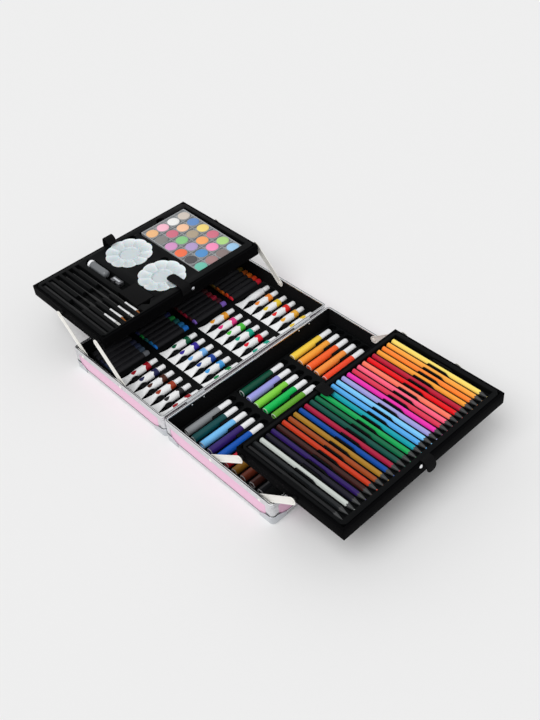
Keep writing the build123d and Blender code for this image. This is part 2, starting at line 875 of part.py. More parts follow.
def paint_box():
    tray = Pos(0, 0, paint_box_height / 2) * Box(paint_box_width, paint_box_length, paint_box_height)
    wall = 2 * paint_box_wall
    inside = Box(paint_box_width - wall, paint_box_length - wall, pan_depth)
    tray -= Pos(0, 0, paint_box_height - pan_depth / 2) * inside
    return tray_spot(*paint_box_centre, insert_top - paint_box_height) * tray


def pan_place(column, line):
    across = (column - (pan_columns - 1) / 2) * pan_pitch_across
    along = (line - (pan_rows - 1) / 2) * pan_pitch_along
    return Pos(across, along, paint_box_height - pan_depth)


def paint_pans():
    place = tray_spot(*paint_box_centre, insert_top - paint_box_height)
    cakes = []
    for column in range(pan_columns):
        for line in range(pan_rows):
            height = pan_depth - paint_box_wall
            cake = pan_place(column, line) * extrude(RegularPolygon(pan_radius, 8), height)
            cakes.append((place * cake).solid())
    return cakes


def brush_parts(b, ferrule_inset):
    z = slot_floor + brush_radius
    handle_end = from_outer(brush_handle_start)
    ferrule_high = ferrule_inset
    ferrule_low = ferrule_high - brush_ferrule_length
    handle = bar_along_u(8, brush_radius, b, z, ferrule_high, handle_end)
    ferrule = bar_along_u(8, brush_radius, b, z, ferrule_low, ferrule_high)
    tuft_low = ferrule_low - brush_tuft_length
    tuft = bar_along_u(8, brush_tuft_radius, b, z, tuft_low, ferrule_low)
    return handle.solid(), ferrule.solid(), tuft.solid()


def dark_pencil(b):
    length = slot_end - slot_start - 2 * dark_pencil_end_gap
    stick = Rot(0, 90, 0) * extrude(hexagon(pencil_flats), length)
    return (Pos(from_outer(slot_end) + dark_pencil_end_gap, b, slot_floor + pencil_flats / 2) * stick).solid()


def glue_tube():
    b = accessory_centre
    z = insert_top - accessory_depth + glue_tube_radius
    high = from_outer(glue_tube_start)
    cap = bar_along_u(12, glue_tube_radius, b, z, high - glue_cap_length, high)
    body = bar_along_u(12, glue_body_radius, b, z, high - glue_tube_length, high - glue_cap_length)
    return (cap + body).solid()


def sharpener():
    length, width, height = sharpener_size
    z = insert_top - accessory_depth
    glue_end = glue_tube_start + glue_tube_length
    room = black_box_place - black_box_size[0] / 2 - glue_end
    a = from_outer(glue_end + sharpener_place * room)
    b = accessory_centre + sharpener_offset
    body = slab(a - length / 2, a + length / 2, b - width / 2, b + width / 2, z, z + height)
    waist = Pos(a, b - width / 2, z) * extrude(around(6, sharpener_waist), height)
    return (body - waist).solid()


def black_box():
    length, width, height = black_box_size
    a = from_outer(black_box_place)
    b = accessory_centre
    low, high = insert_top - height, insert_top + black_box_rise
    return slab(a - length / 2, a + length / 2, b - width / 2, b + width / 2, low, high)


def save_palette_tray():
    place = tray_place(left_arm_angle)
    save_left("palette_tray_box", place * tray_box())
    save_left("palette_tray_insert", place * palette_insert())
    dish = palette_dish()
    spots = [tray_spot(across, along, insert_top - palette_height) for across, along in palette_places]
    save_left("mixing_palettes", group([(place * spot * dish).solid() for spot in spots]))
    save_left("watercolour_box", place * paint_box())
    save_left("watercolour_pans", group([place * cake for cake in paint_pans()]))
    handles, ferrules, tufts = [], [], []
    slots = [share * tray_length for share in slot_places]
    for b, inset in zip(slots[2:], brush_ferrule_insets):
        handle, ferrule, tuft = brush_parts(b, inset)
        handles.append(place * handle)
        ferrules.append(place * ferrule)
        tufts.append(place * tuft)
    save_left("brush_handles", group(handles))
    save_left("brush_ferrules", group(ferrules))
    save_left("brush_tufts", group(tufts))
    save_left("dark_pencils", group([place * dark_pencil(b) for b in slots[:2]]))
    save_left("glue_tube", place * glue_tube())
    save_left("sharpener", place * sharpener())
    save_left("black_box", place * black_box())
    save_left("palette_tray_straps", group([place * solid for solid in palette_straps()]))


def palette_straps():
    b = palette_strap_place * tray_length
    inner = strap_band(0, b, palette_strap_reach) + snap_on_top(palette_strap_reach - snap_end_gap, b)
    outer = far_side(strap_band(0, palette_outer_strap_place * tray_length, palette_outer_strap_reach))
    return [inner.solid(), outer.solid()]


# Carrying handle: a bail that hangs along the outer wall on two pins.
def handle_bail():
    arm_in = handle_span / 2 - handle_arm_width
    bottom = handle_pivot_height - handle_reach - handle_grip_height / 2
    top = handle_pivot_height + handle_arm_width / 2
    centre = half_length / 2
    middle = Pos(centre, (bottom + top) / 2)
    outline = middle * chamfered_rectangle(handle_span, top - bottom, handle_corner_cut)
    window_bottom = bottom + handle_grip_height
    window_top = top + handle_corner_cut
    window = Pos(centre, (window_bottom + window_top) / 2)
    outline -= window * chamfered_rectangle(2 * arm_in, window_top - window_bottom, handle_corner_cut)
    bail = extrude(Plane.YZ * outline, handle_thickness)
    u = outer_face + handle_pivot_out - handle_thickness / 2
    bore_radius = (handle_pin_radius + fit_run) / cos(radians(15))
    pivot_u = outer_face + handle_pivot_out
    reach = handle_span
    bore = bar_along_v(12, bore_radius, pivot_u, handle_pivot_height, centre - reach, centre + reach)
    return Pos(u, 0, 0) * bail - bore


def bracket(side):
    boss_high = handle_span / 2 - handle_arm_width - side_run
    boss_low = boss_high - bracket_length
    u = outer_face + handle_pivot_out
    z = handle_pivot_height
    top = rim_bottom
    ledge = boss_low - bracket_ledge
    plate = slab(panel_face, panel_face + bracket_thickness, ledge, boss_high, top - bracket_height, top)
    body = plate + bar_along_v(12, bracket_boss_radius, u, z, boss_low, boss_high)
    body += slab(panel_face, u, boss_low, boss_high, z - bracket_boss_radius, z + bracket_boss_radius)
    head = handle_span / 2 + side_run
    body += bar_along_v(12, handle_pin_radius, u, z, boss_high, head)
    body += bar_along_v(12, handle_pin_head_radius, u, z, head, head + handle_pin_head)
    placed = Pos(0, half_length / 2, 0) * body
    return placed.solid() if side > 0 else far_end(placed).solid()


# Draw latch: a hasp on a pinned barrel that swings up over the strike of the other half.
def latch_plate(v):
    u = outer_face + latch_pivot_out
    z = latch_pivot_height
    low, high = v - latch_width / 2, v + latch_width / 2
    top = rim_bottom
    plate = slab(panel_face, panel_face + latch_plate_thickness, low, high, top - latch_plate_height, top)
    for v0 in (low, high - latch_ear):
        plate += slab(panel_face, u, v0, v0 + latch_ear, z - latch_barrel_radius, z + latch_barrel_radius)
        plate += bar_along_v(12, latch_barrel_radius, u, z, v0, v0 + latch_ear)
    pin = rod_along_v(latch_pin_radius, u, z, low, high)
    return (plate + pin).solid()


def latch_hasp(v):
    u = outer_face + latch_pivot_out
    z = latch_pivot_height
    low = v - latch_width / 2 + latch_ear + side_run
    high = v + latch_width / 2 - latch_ear - side_run
    barrel = bar_along_v(12, latch_barrel_radius, u, z, low, high)
    half = latch_hasp_thickness / 2
    leaf = slab(u - half, u + half, low, high, z - latch_reach, z)
    width, height = latch_window
    window_low = z - latch_reach + latch_window_edge
    leaf -= slab(u - half, u + half, v - width / 2, v + width / 2, window_low, window_low + height)
    bore = bar_along_v(12, (latch_pin_radius + fit_run) / cos(radians(15)), u, z, low, high)
    return (barrel + leaf - bore).solid()


def latch_strike(v):
    width = latch_window[0] - 2 * strike_edge
    low, high = v - latch_width / 2, v + latch_width / 2
    bottom = rim_bottom + strike_edge
    plate = slab(outer_face, outer_face + latch_plate_thickness, low, high, bottom, bottom + strike_height)
    nose_low = bottom + strike_edge
    nose_high = nose_low + strike_nose_height
    nose = slab(outer_face, outer_face + strike_nose, v - width / 2, v + width / 2, nose_low, nose_high)
    return (plate + nose).solid()


def save_fittings():
    save_right("handle", handle_bail())
    save_right("handle_brackets", group([bracket(-1), bracket(1)]))
    save_right("latch_plates", group([latch_plate(v) for v in latch_places]))
    save_right("latch_hasp_near", latch_hasp(latch_places[0]))
    save_right("latch_hasp_far", latch_hasp(latch_places[1]))
    save_left("latch_strikes", group([latch_strike(v) for v in latch_places]))


save_case_shell("right", save_right)
save_case_shell("left", save_left)
save_hinges()
save_linkage("right", save_right, right_arm_angle)
save_linkage("left", save_left, left_arm_angle)
save_markers()
save_paints()
save_pencil_tray()
save_palette_tray()
save_fittings()
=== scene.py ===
from math import cos, hypot, pi, radians, sin, sqrt

import bmesh
import bpy
from mathutils import Matrix, Vector
from mathutils.geometry import interpolate_bezier


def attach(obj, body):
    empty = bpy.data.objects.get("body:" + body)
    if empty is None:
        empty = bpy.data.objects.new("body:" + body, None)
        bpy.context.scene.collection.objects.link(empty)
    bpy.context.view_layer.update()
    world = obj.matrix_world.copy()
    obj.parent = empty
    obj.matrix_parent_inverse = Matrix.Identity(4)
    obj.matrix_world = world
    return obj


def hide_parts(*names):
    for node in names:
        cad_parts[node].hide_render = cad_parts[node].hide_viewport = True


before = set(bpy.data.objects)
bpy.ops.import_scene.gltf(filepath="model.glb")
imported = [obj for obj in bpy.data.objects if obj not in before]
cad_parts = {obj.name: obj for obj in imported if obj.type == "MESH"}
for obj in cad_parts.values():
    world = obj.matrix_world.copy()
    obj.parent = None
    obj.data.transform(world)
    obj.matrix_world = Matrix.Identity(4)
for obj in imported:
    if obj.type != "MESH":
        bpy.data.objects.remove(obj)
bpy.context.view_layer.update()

scene = bpy.context.scene
scene.view_settings.view_transform = "Standard"


# The set: a pale floor, one wide soft sun overhead, a pale world, and the camera high over the near
# right corner of the case.
def node(made, kind, **settings):
    new = made.node_tree.nodes.new("ShaderNode" + kind)
    for key, value in settings.items():
        setattr(new, key, value)
    return new


def join(made, source, target):
    made.node_tree.links.new(source, target)


def surface(made):
    return made.node_tree.nodes["Principled BSDF"].inputs


def finish(name, colour, roughness, metallic=0.0, specular=0.5, coat=0.0, coat_roughness=0.12):
    made = bpy.data.materials.new(name)
    made.use_nodes = True
    for socket, value in (
        ("Base Color", (*colour, 1)), ("Roughness", roughness), ("Metallic", metallic),
        ("Specular IOR Level", specular), ("Coat Weight", coat), ("Coat Roughness", coat_roughness),
    ):
        surface(made)[socket].default_value = value
    return made


def put(name, data):
    placed = bpy.data.objects.new(name, data)
    scene.collection.objects.link(placed)
    return placed


pale, floor_reach = (0.86, 0.86, 0.86), 9.0
floor_corners = [(x * floor_reach, y * floor_reach, 0) for x, y in ((-1, -1), (1, -1), (1, 1), (-1, 1))]
floor_mesh = bpy.data.meshes.new("floor")
floor_mesh.from_pydata(floor_corners, [], [(0, 1, 2, 3)])
floor_mesh.materials.append(finish("floor_paint", pale, 0.9, specular=0.0))
floor = put("floor", floor_mesh)

world = bpy.data.worlds.new("pale_room")
world.use_nodes = True
scene.world = world
daylight = world.node_tree.nodes["Background"]
daylight.inputs["Color"].default_value = (1, 1, 1, 1)
daylight.inputs["Strength"].default_value = 0.59
backdrop = node(world, "Background")
backdrop.inputs["Color"].default_value = (*pale, 1)
rays = node(world, "LightPath").outputs
seen = rays["Is Camera Ray"]
for kind in ("Is Transmission Ray", "Is Glossy Ray"):
    either = node(world, "Math", operation="MAXIMUM")
    join(world, seen, either.inputs[0])
    join(world, rays[kind], either.inputs[1])
    seen = either.outputs[0]
switch = node(world, "MixShader")
for source, target in zip((seen, daylight.outputs[0], backdrop.outputs[0]), switch.inputs):
    join(world, source, target)
join(world, switch.outputs[0], world.node_tree.nodes["World Output"].inputs["Surface"])

sun_data = bpy.data.lights.new("soft_sun", "SUN")
sun_data.energy = 1.5
sun_data.angle = radians(45)
sun = put("soft_sun", sun_data)
sun.rotation_euler = Vector((0.15, -0.88, 1.5)).to_track_quat("Z", "Y").to_euler()

turn, dip, roll = radians(50.936), radians(43.132), radians(-5.949)
camera_place = (0.742676, -0.659547, 1.052505)
focal_pixels, frame_pixels, film = 927.763, 720, 36
ahead = Vector((-sin(turn) * cos(dip), cos(turn) * cos(dip), -sin(dip)))
level_right = Vector((cos(turn), sin(turn), 0))
level_up = level_right.cross(ahead)
right_hand = level_right * cos(roll) + level_up * sin(roll)
upward = level_up * cos(roll) - level_right * sin(roll)
camera_data = bpy.data.cameras.new("camera")
camera_data.sensor_width = film
camera_data.lens = focal_pixels / frame_pixels * film
camera_data.clip_start = 0.02
camera_data.clip_end = 40
camera = put("camera", camera_data)
aim = Matrix((right_hand, upward, -ahead)).transposed().to_4x4()
camera.matrix_world = Matrix.Translation(camera_place) @ aim
scene.camera = camera


# Side panels and floor boards of both halves: thin boards faced with pink laminate, with a faint grain
# pressed into the gloss. The frame holds their edges.
def paint(code):
    channels = [int(code[i:i + 2], 16) / 255 for i in (0, 2, 4)]
    return tuple(c / 12.92 if c <= 0.04045 else ((c + 0.055) / 1.055) ** 2.4 for c in channels)


def feed(made, target, value):
    if isinstance(value, bpy.types.NodeSocket):
        join(made, value, target)
    else:
        target.default_value = value


def blend(made, share, first, second):
    share_socket, first_colour, second_colour, mixed_colour = 0, 6, 7, 2
    mixer = node(made, "Mix", data_type="RGBA")
    for place, value in ((share_socket, share), (first_colour, first), (second_colour, second)):
        feed(made, mixer.inputs[place], value)
    return mixer.outputs[mixed_colour]


def speckle(made, size, detail, stretch=(1, 1, 1)):
    where = node(made, "TexCoord")
    spread = node(made, "Mapping")
    spread.inputs["Scale"].default_value = stretch
    join(made, where.outputs["Object"], spread.inputs["Vector"])
    noise = node(made, "TexNoise")
    noise.inputs["Scale"].default_value = 1 / size
    noise.inputs["Detail"].default_value = detail
    join(made, spread.outputs[0], noise.inputs["Vector"])
    return noise.outputs[0]


def grain(made, size, depth, shade, stretch=(1, 1, 1)):
    noise = speckle(made, size, 3.0, stretch)
    bump = node(made, "Bump")
    bump.inputs["Strength"].default_value = depth
    bump.inputs["Distance"].default_value = size / 4
    join(made, noise, bump.inputs["Height"])
    join(made, bump.outputs[0], surface(made)["Normal"])
    colour, tones = surface(made)["Base Color"], []
    for gain in (1 - shade, 1 + shade):
        if colour.is_linked:
            scaled = node(made, "VectorMath", operation="SCALE")
            scaled.inputs["Scale"].default_value = gain
            join(made, colour.links[0].from_socket, scaled.inputs[0])
            tones.append(scaled.outputs[0])
        else:
            tones.append((*[c * gain for c in colour.default_value[:3]], 1))
    join(made, blend(made, noise, *tones), colour)


def wear(made, low, high, size):
    reach = node(made, "MapRange")
    for socket, value in (("From Min", 0.3), ("From Max", 0.7), ("To Min", low), ("To Max", high)):
        reach.inputs[socket].default_value = value
    join(made, speckle(made, size, 4.0), reach.inputs["Value"])
    join(made, reach.outputs[0], surface(made)["Roughness"])


def dress(name, made):
    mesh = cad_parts[name].data
    mesh.materials.clear()
    mesh.materials.append(made)


pink_laminate = finish("pink_laminate", paint("efbfd9"), 0.34, specular=0.3, coat=0.1)
grain(pink_laminate, 0.0006, 0.03, shade=0.01)
for side in ("right", "left"):
    dress(f"{side}_side_panels", pink_laminate)
    dress(f"{side}_floor_panel", pink_laminate)

# Lining: black flock paper glued to the inside of the boards. It is matt, with a short nap that catches
# hardly any light.
flock = finish("flock", paint("0c0c0d"), 0.95, specular=0.08)
surface(flock)["Sheen Weight"].default_value = 0.01
grain(flock, 0.0004, 0.5, shade=0.25)
for side in ("right", "left"):
    dress(f"{side}_lining", flock)

# Frame: a grooved aluminium extrusion round the rim and a folded angle round the foot of each half,
# satin anodised, mitred at the corners and bent round them outside. Both are swept from their section,
# whose points are the inset from the outer face and the height. The groove faces carry painted shade,
# and the top of the foot angle carries a painted shadow line under the pink panel.
half_length, half_width, hinge_gap, corner_radius = 357.0, 238.0, 4.0, 6.0
arc_steps = 10


def mm(*numbers):
    return Vector(numbers) / 1000


def in_half(side, u, v, z):
    middle = (hinge_gap + half_width) / 2
    x = u - middle if side == "right" else -middle - u
    return mm(x, v - half_length / 2, z)


def frame_path(inset, z):
    low_u, high_u = hinge_gap / 2, hinge_gap / 2 + half_width
    radius, hub = max(corner_radius - inset, 0), max(corner_radius, inset)
    corners = (
        (high_u - hub, hub, -90),
        (high_u - hub, half_length - hub, 0),
        (low_u + hub, half_length - hub, 90),
        (low_u + hub, hub, 180),
    )
    points = []
    for u, v, start in corners:
        for i in range(arc_steps + 1):
            angle = radians(start + 90 * i / arc_steps)
            points.append((u + radius * cos(angle), v + radius * sin(angle), z))
    return points


def mesh_piece(name, verts, faces, made, marks=None):
    mesh = bpy.data.meshes.new(name)
    mesh.from_pydata([tuple(v) for v in verts], [], faces)
    for entry in made:
        mesh.materials.append(entry)
    if marks:
        mesh.polygons.foreach_set("material_index", marks)
    shell = bmesh.new()
    shell.from_mesh(mesh)
    bmesh.ops.remove_doubles(shell, verts=shell.verts, dist=1e-6)
    bmesh.ops.recalc_face_normals(shell, faces=shell.faces)
    shell.to_mesh(mesh)
    shell.free()
    return put(name, mesh)


def smooth(piece, angle):
    piece.data.shade_smooth()
    piece.data.set_sharp_from_angle(angle=radians(angle))
    return piece


def ring_faces(rings, count, first=0, closed=False):
    faces = []
    for i in range(rings if closed else rings - 1):
        low, high = first + i * count, first + (i + 1) % rings * count
        for j in range(count):
            k = (j + 1) % count
            faces.append((low + j, low + k, high + k, high + j))
    return faces


def swept_frame(name, side, section, shaded_points):
    loops = [frame_path(inset, z) for inset, z in section]
    count = len(loops[0])
    verts = [in_half(side, *point) for loop in loops for point in loop]
    marks = []
    # Faces between two section points that are both listed as shaded take the painted shade material.
    for corner, following in zip(section, section[1:] + section[:1]):
        marks += [int(corner in shaded_points and following in shaded_points)] * count
    faces = ring_faces(len(loops), count, closed=True)
    return smooth(mesh_piece(name, verts, faces, [aluminium, painted_shade], marks), 40)


aluminium = finish("satin_aluminium", paint("dedfe1"), 0.3, metallic=1.0)
grain(aluminium, 0.0008, 0.05, shade=0.03, stretch=(0.15, 0.15, 4))
wear(aluminium, 0.3, 0.4, 0.006)
# Painted shade: a flat dark grey that stands for the shade in the grooves, the shadow line over the foot
# angle and the shadow in the gap over each corner protector.
painted_shade = finish("painted_shade", paint("2c2c2f"), 0.6, specular=0.2)
grain(painted_shade, 0.001, 0.05, shade=0.1)
rim_section = [
    (0.35, 32.0), (0.0, 32.35), (0.0, 33.7), (0.6, 33.9), (0.6, 34.4), (0.0, 34.6), (0.0, 38.4),
    (0.6, 38.6), (0.6, 39.2), (0.0, 39.4), (0.0, 41.1), (0.25, 41.75), (0.8, 42.0), (1.4, 42.0),
    (1.5, 40.7), (2.3, 40.7), (2.4, 42.0), (3.5, 42.0), (3.9, 41.8), (4.0, 41.3), (4.0, 40.0),
    (0.8, 40.0), (0.8, 32.0),
]
rim_shaded_points = [
    (0.6, 33.9), (0.6, 34.4), (0.6, 38.6), (0.6, 39.2), (1.5, 40.7), (2.3, 40.7), (1.4, 42.0), (2.4, 42.0),
]
foot_section = [
    (0.8, 7.0), (0.15, 7.0), (0.0, 6.8), (0.0, 4.0), (0.5, 3.8), (0.5, 3.3), (0.0, 3.1), (0.0, 1.6),
    (0.25, 1.05), (0.8, 0.8), (9.0, 0.8), (9.0, 1.6), (0.8, 1.6),
]
# The foot angle's top face is painted dark as the shadow line under the pink panel, and its groove takes
# painted shade.
foot_shaded_points = [(0.8, 7.0), (0.15, 7.0), (0.5, 3.8), (0.5, 3.3)]
for side in ("right", "left"):
    rim = swept_frame(f"{side}_rim", side, rim_section, rim_shaded_points)
    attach(rim, f"{side}_half")
    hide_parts(f"{side}_rim_extrusion")
    foot = swept_frame(f"{side}_foot_angle", side, foot_section, foot_shaded_points)
    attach(foot, f"{side}_half")
    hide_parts(f"{side}_bottom_angle")
    dress(f"{side}_corner_posts", aluminium)


# Corner protectors: pressed and chromed steel shells over the bottom corners, with rolled edges. A thin
# dark strip along each shell's upper edge is a painted shadow of the gap between the shell and the corner
# post over it. Softened pieces are the model's solids with their edges rounded off as the real press or
# mould leaves them.
def settled(name, rough, *spent):
    bpy.context.view_layer.update()
    evaluated = rough.evaluated_get(bpy.context.evaluated_depsgraph_get())
    mesh = bpy.data.meshes.new_from_object(evaluated)
    for used in (rough, *spent):
        bpy.data.objects.remove(used)
    return put(name, mesh)


def softened(name, width, made, body, segments=2, reshape=None, cutter=None):
    shell = bmesh.new()
    shell.from_mesh(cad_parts[name].data)
    bmesh.ops.remove_doubles(shell, verts=shell.verts, dist=2e-6)
    if reshape:
        reshape(shell)
    mesh = bpy.data.meshes.new(name + "_soft")
    shell.to_mesh(mesh)
    shell.free()
    mesh.materials.append(made)
    mesh.shade_smooth()
    rough = put(name + "_rough", mesh)
    if cutter:
        rough.modifiers.new("notch", "BOOLEAN").object = cutter
    rounding = rough.modifiers.new("rounding", "BEVEL")
    rounding.width = width / 1000
    rounding.segments = segments
    rounding.limit_method = "ANGLE"
    rounding.angle_limit = radians(30)
    rounding.use_clamp_overlap = False
    rounding.harden_normals = True
    piece = settled(name + "_finished", rough, *([cutter] if cutter else []))
    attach(piece, body)
    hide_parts(name)
    return piece


def capped_faces(rings, count, first=0):
    last = first + (rings - 1) * count
    ends = [tuple(reversed(range(first, first + count))), tuple(range(last, last + count))]
    return ring_faces(rings, count, first) + ends


chrome = finish("chromed_steel", paint("cccfd3"), 0.16, metallic=1.0)
wear(chrome, 0.1, 0.24, 0.004)
protector_top, solid_top, protector_foot = 15.0, 19.0, 5.0
gap_shadow_section, gap_shadow_reach = ((-0.5, 0.0), (-0.5, 0.9), (0.1, 0.9), (0.1, 0.0)), 9.0


def pressed_lower(shell):
    for vertex in shell.verts:
        if vertex.co.z * 1000 > protector_foot:
            vertex.co.z *= protector_top / solid_top


# Painted shadow: a thin dark strip round each corner just over the protector's top, reaching a little along
# both sides and standing just proud of the corner, in place of the shadow in the gap.
def corner_gap_shadows(side):
    verts, faces = [], []
    points = arc_steps + 1
    for corner in range(4):
        lines = []
        for inset, z in gap_shadow_section:
            path = frame_path(inset, protector_top + z)
            arc = [Vector(point) for point in path[corner * points:(corner + 1) * points]]
            before, after = (arc[0] - arc[1]).normalized(), (arc[-1] - arc[-2]).normalized()
            lines.append([arc[0] + gap_shadow_reach * before, *arc, arc[-1] + gap_shadow_reach * after])
        faces += capped_faces(len(lines[0]), len(lines), len(verts))
        verts += [in_half(side, *point) for ring in zip(*lines) for point in ring]
    return mesh_piece(f"{side}_corner_seams", verts, faces, [painted_shade])


for side in ("right", "left"):
    softened(
        f"{side}_corner_protectors", 0.25, chrome, f"{side}_half", reshape=pressed_lower
    )
    gap_shadows = corner_gap_shadows(side)
    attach(gap_shadows, f"{side}_half")


# Rivets of the arms: turned steel with painted heads and a black bush between the arm and the wall. Each
# kind is one turned shape, laid out at its places by a small tree of Geometry Nodes, which also lays out
# everything else that comes many times.
def ringed(name, rings, marks, crease):
    count = len(rings[0])
    mesh = bpy.data.meshes.new(name)
    points = [tuple(point / 1000) for ring in rings for point in ring]
    mesh.from_pydata(points, [], capped_faces(len(rings), count))
    parts = [mark for mark in marks[:-2] for _ in range(count)] + marks[-2:]
    mesh.attributes.new("part", "INT", "FACE").data.foreach_set("value", parts)
    mesh.shade_smooth()
    mesh.set_sharp_from_angle(angle=radians(crease))
    return mesh


def turned(name, profile, sides, marks=None, squash=None):
    turns = [2 * pi * i / sides for i in range(sides)]
    rings = [[Vector((r * cos(t), r * sin(t), z)) for t in turns] for r, z in profile]
    if squash:
        rings = [[squash(point) for point in ring] for ring in rings]
    marks = marks or [0] * (len(profile) - 1)
    return ringed(name, rings, [*marks, marks[0], marks[-1]], 38)


along_y = Matrix.Rotation(radians(-90), 4, "X")
along_x = Matrix.Rotation(radians(90), 4, "Y")


def layout_tree(made):
    tree = bpy.data.node_groups.new("layout", "GeometryNodeTree")
    sockets = {}
    face = tree.interface
    face.new_socket("Geometry", in_out="INPUT", socket_type="NodeSocketGeometry")
    for label, kind in (
        ("Shape", "NodeSocketObject"), ("Size", "NodeSocketFloat"),
        ("Slip", "NodeSocketVector"), ("Seed", "NodeSocketInt"),
    ):
        sockets[label] = face.new_socket(label, in_out="INPUT", socket_type=kind).identifier
    face.new_socket("Geometry", in_out="OUTPUT", socket_type="NodeSocketGeometry")
    add = tree.nodes.new
    link = tree.links.new
    given, result = add("NodeGroupInput"), add("NodeGroupOutput")
    turn_of_each = add("GeometryNodeInputNamedAttribute")
    turn_of_each.data_type = "FLOAT_VECTOR"
    turn_of_each.inputs["Name"].default_value = "turn"
    low = add("ShaderNodeVectorMath")
    low.operation = "SCALE"
    low.inputs["Scale"].default_value = -1
    slip = add("FunctionNodeRandomValue")
    slip.data_type = "FLOAT_VECTOR"
    moved = add("GeometryNodeSetPosition")
    shape = add("GeometryNodeObjectInfo")
    placed = add("GeometryNodeInstanceOnPoints")
    real = add("GeometryNodeRealizeInstances")
    link(given.outputs["Slip"], low.inputs[0])
    link(low.outputs[0], slip.inputs["Min"])
    link(given.outputs["Slip"], slip.inputs["Max"])
    link(given.outputs["Seed"], slip.inputs["Seed"])
    link(given.outputs["Geometry"], moved.inputs["Geometry"])
    link(slip.outputs["Value"], moved.inputs["Offset"])
    link(given.outputs["Shape"], shape.inputs["Object"])
    link(moved.outputs[0], placed.inputs["Points"])
    link(shape.outputs["Geometry"], placed.inputs["Instance"])
    link(turn_of_each.outputs["Attribute"], placed.inputs["Rotation"])
    link(given.outputs["Size"], placed.inputs["Scale"])
    link(placed.outputs[0], real.inputs[0])
    current = real.outputs[0]
    for number, entry in enumerate(made):
        part = add("GeometryNodeInputNamedAttribute")
        part.data_type = "INT"
        part.inputs["Name"].default_value = "part"
        same = add("FunctionNodeCompare")
        same.data_type = "INT"
        same.operation = "EQUAL"
        same.inputs[3].default_value = number
        link(part.outputs["Attribute"], same.inputs[2])
        coat = add("GeometryNodeSetMaterial")
        coat.inputs["Material"].default_value = entry
        link(same.outputs[0], coat.inputs["Selection"])
        link(current, coat.inputs["Geometry"])
        current = coat.outputs[0]
    link(current, result.inputs[0])
    return tree, sockets


def laid_out(name, shape, places, made, tints=None, turns=None, slip=(0, 0, 0), seed=1):
    points = bpy.data.meshes.new(name + "_places")
    points.from_pydata([tuple(p) for p in places], [], [])
    tint = points.attributes.new("tint", "FLOAT_COLOR", "POINT")
    for i, entry in enumerate(tints or [(1, 1, 1)] * len(places)):
        tint.data[i].color = (*entry, 1)
    turn_of = points.attributes.new("turn", "FLOAT_VECTOR", "POINT")
    for i, entry in enumerate(turns or [(0, 0, 0)] * len(places)):
        turn_of.data[i].vector = entry
    rough, pattern = put(name + "_rough", points), put(name + "_pattern", shape)
    tree, sockets = layout_tree(made)
    repeat = rough.modifiers.new("layout", "NODES")
    repeat.node_group = tree
    for label, value in (("Shape", pattern), ("Size", 1.0), ("Slip", slip), ("Seed", seed)):
        repeat[sockets[label]] = value
    return settled(name, rough, pattern)


arm_length, pivot_height, case_pivots = 79.0, 34.5, (110.5, 215.0)
arm_angle = {"right": 36.86990, "left": 44.8}
case_rivet_profile = [
    (0.3, -0.95), (1.4, -0.85), (2.4, -0.5), (2.8, 0.0), (2.0, 0.05), (2.0, 3.95), (4.5, 4.0), (4.5, 5.6),
    (2.0, 5.7), (2.0, 7.3), (4.0, 7.35), (3.5, 7.95), (2.2, 8.4), (0.4, 8.5),
]
tray_rivet_profile = [
    (0.3, 5.66), (1.2, 5.64), (1.5, 5.5), (2.4, 5.5), (2.8, 5.62), (2.8, 5.72), (2.0, 5.75), (2.0, 7.3),
    (4.0, 7.35), (4.0, 12.95), (2.0, 13.0), (2.0, 16.4), (0.4, 16.45),
]
case_rivet = turned("case_rivet", case_rivet_profile, 20, [0] * 5 + [1] * 3 + [0] * 5)
case_rivet.transform(along_y)
tray_rivet = turned("tray_rivet", tray_rivet_profile, 20, [0] * 7 + [1] * 3 + [0] * 2)
tray_rivet.transform(along_y)


def pivots_of_tray(side):
    lift = radians(arm_angle[side])
    return [(u + arm_length * cos(lift), pivot_height + arm_length * sin(lift)) for u in case_pivots]


arm_paint = finish("arm_paint", paint("f2f0ea"), 0.38, metallic=0.1, specular=0.3)
grain(arm_paint, 0.0005, 0.04, shade=0.01)
black_bush = finish("black_bush", paint("101011"), 0.5, specular=0.15)
grain(black_bush, 0.001, 0.1, shade=0.06)
unturned, half_turn = (0, 0, 0), (0, 0, pi)
for side in ("right", "left"):
    for label, shape, body, places in (
        ("case", case_rivet, f"{side}_half", [(u, pivot_height) for u in case_pivots]),
        ("tray", tray_rivet, f"{side}_tray", pivots_of_tray(side)),
    ):
        spots = [in_half(side, u, v, z) for v in (0, half_length) for u, z in places]
        rivets = laid_out(
            f"{side}_{label}_rivet_heads", shape, spots, [arm_paint, black_bush],
            turns=[unturned] * 2 + [half_turn] * 2,
        )
        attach(rivets, body)
        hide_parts(f"{side}_{label}_rivets")

# Arms: flat steel bars with round ends, pressed so that a narrow bead stands round their edge, and painted
# ivory white. Each pair has one arm at either end of its half, riveted to the end wall.
arm_radius, arm_gap, arm_steps = 6.5, 5.75, 14
arm_section = (
    (2.2, 0.5), (1.8, 0.15), (1.4, 0.0), (0.5, 0.0), (0.1, 0.15), (0.0, 0.5), (0.0, 1.1), (0.3, 1.5),
    (1.4, 1.5), (1.8, 1.35), (2.2, 1.0),
)
arm_points = []
for inset, y in arm_section:
    for centre, start in ((0.0, 90), (arm_length, -90)):
        for i in range(arm_steps + 1):
            t = radians(start + 180 * i / arm_steps)
            r = arm_radius - inset
            arm_points.append(Vector((centre + r * cos(t), y, r * sin(t))))
for side in ("right", "left"):
    lift = radians(arm_angle[side])
    for label, pivot in zip(("inner", "outer"), case_pivots):
        verts, faces = [], []
        for far in (False, True):
            faces += capped_faces(len(arm_section), 2 * (arm_steps + 1), len(verts))
            for point in arm_points:
                u = pivot + point.x * cos(lift) - point.z * sin(lift)
                z = pivot_height + point.x * sin(lift) + point.z * cos(lift)
                v = arm_gap + point.y
                verts.append(in_half(side, u, half_length - v if far else v, z))
        arms = smooth(mesh_piece(f"{side}_{label}_arm_bars", verts, faces, [arm_paint]), 30)
        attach(arms, f"{side}_{label}_arm_pair")
        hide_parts(f"{side}_{label}_arms")

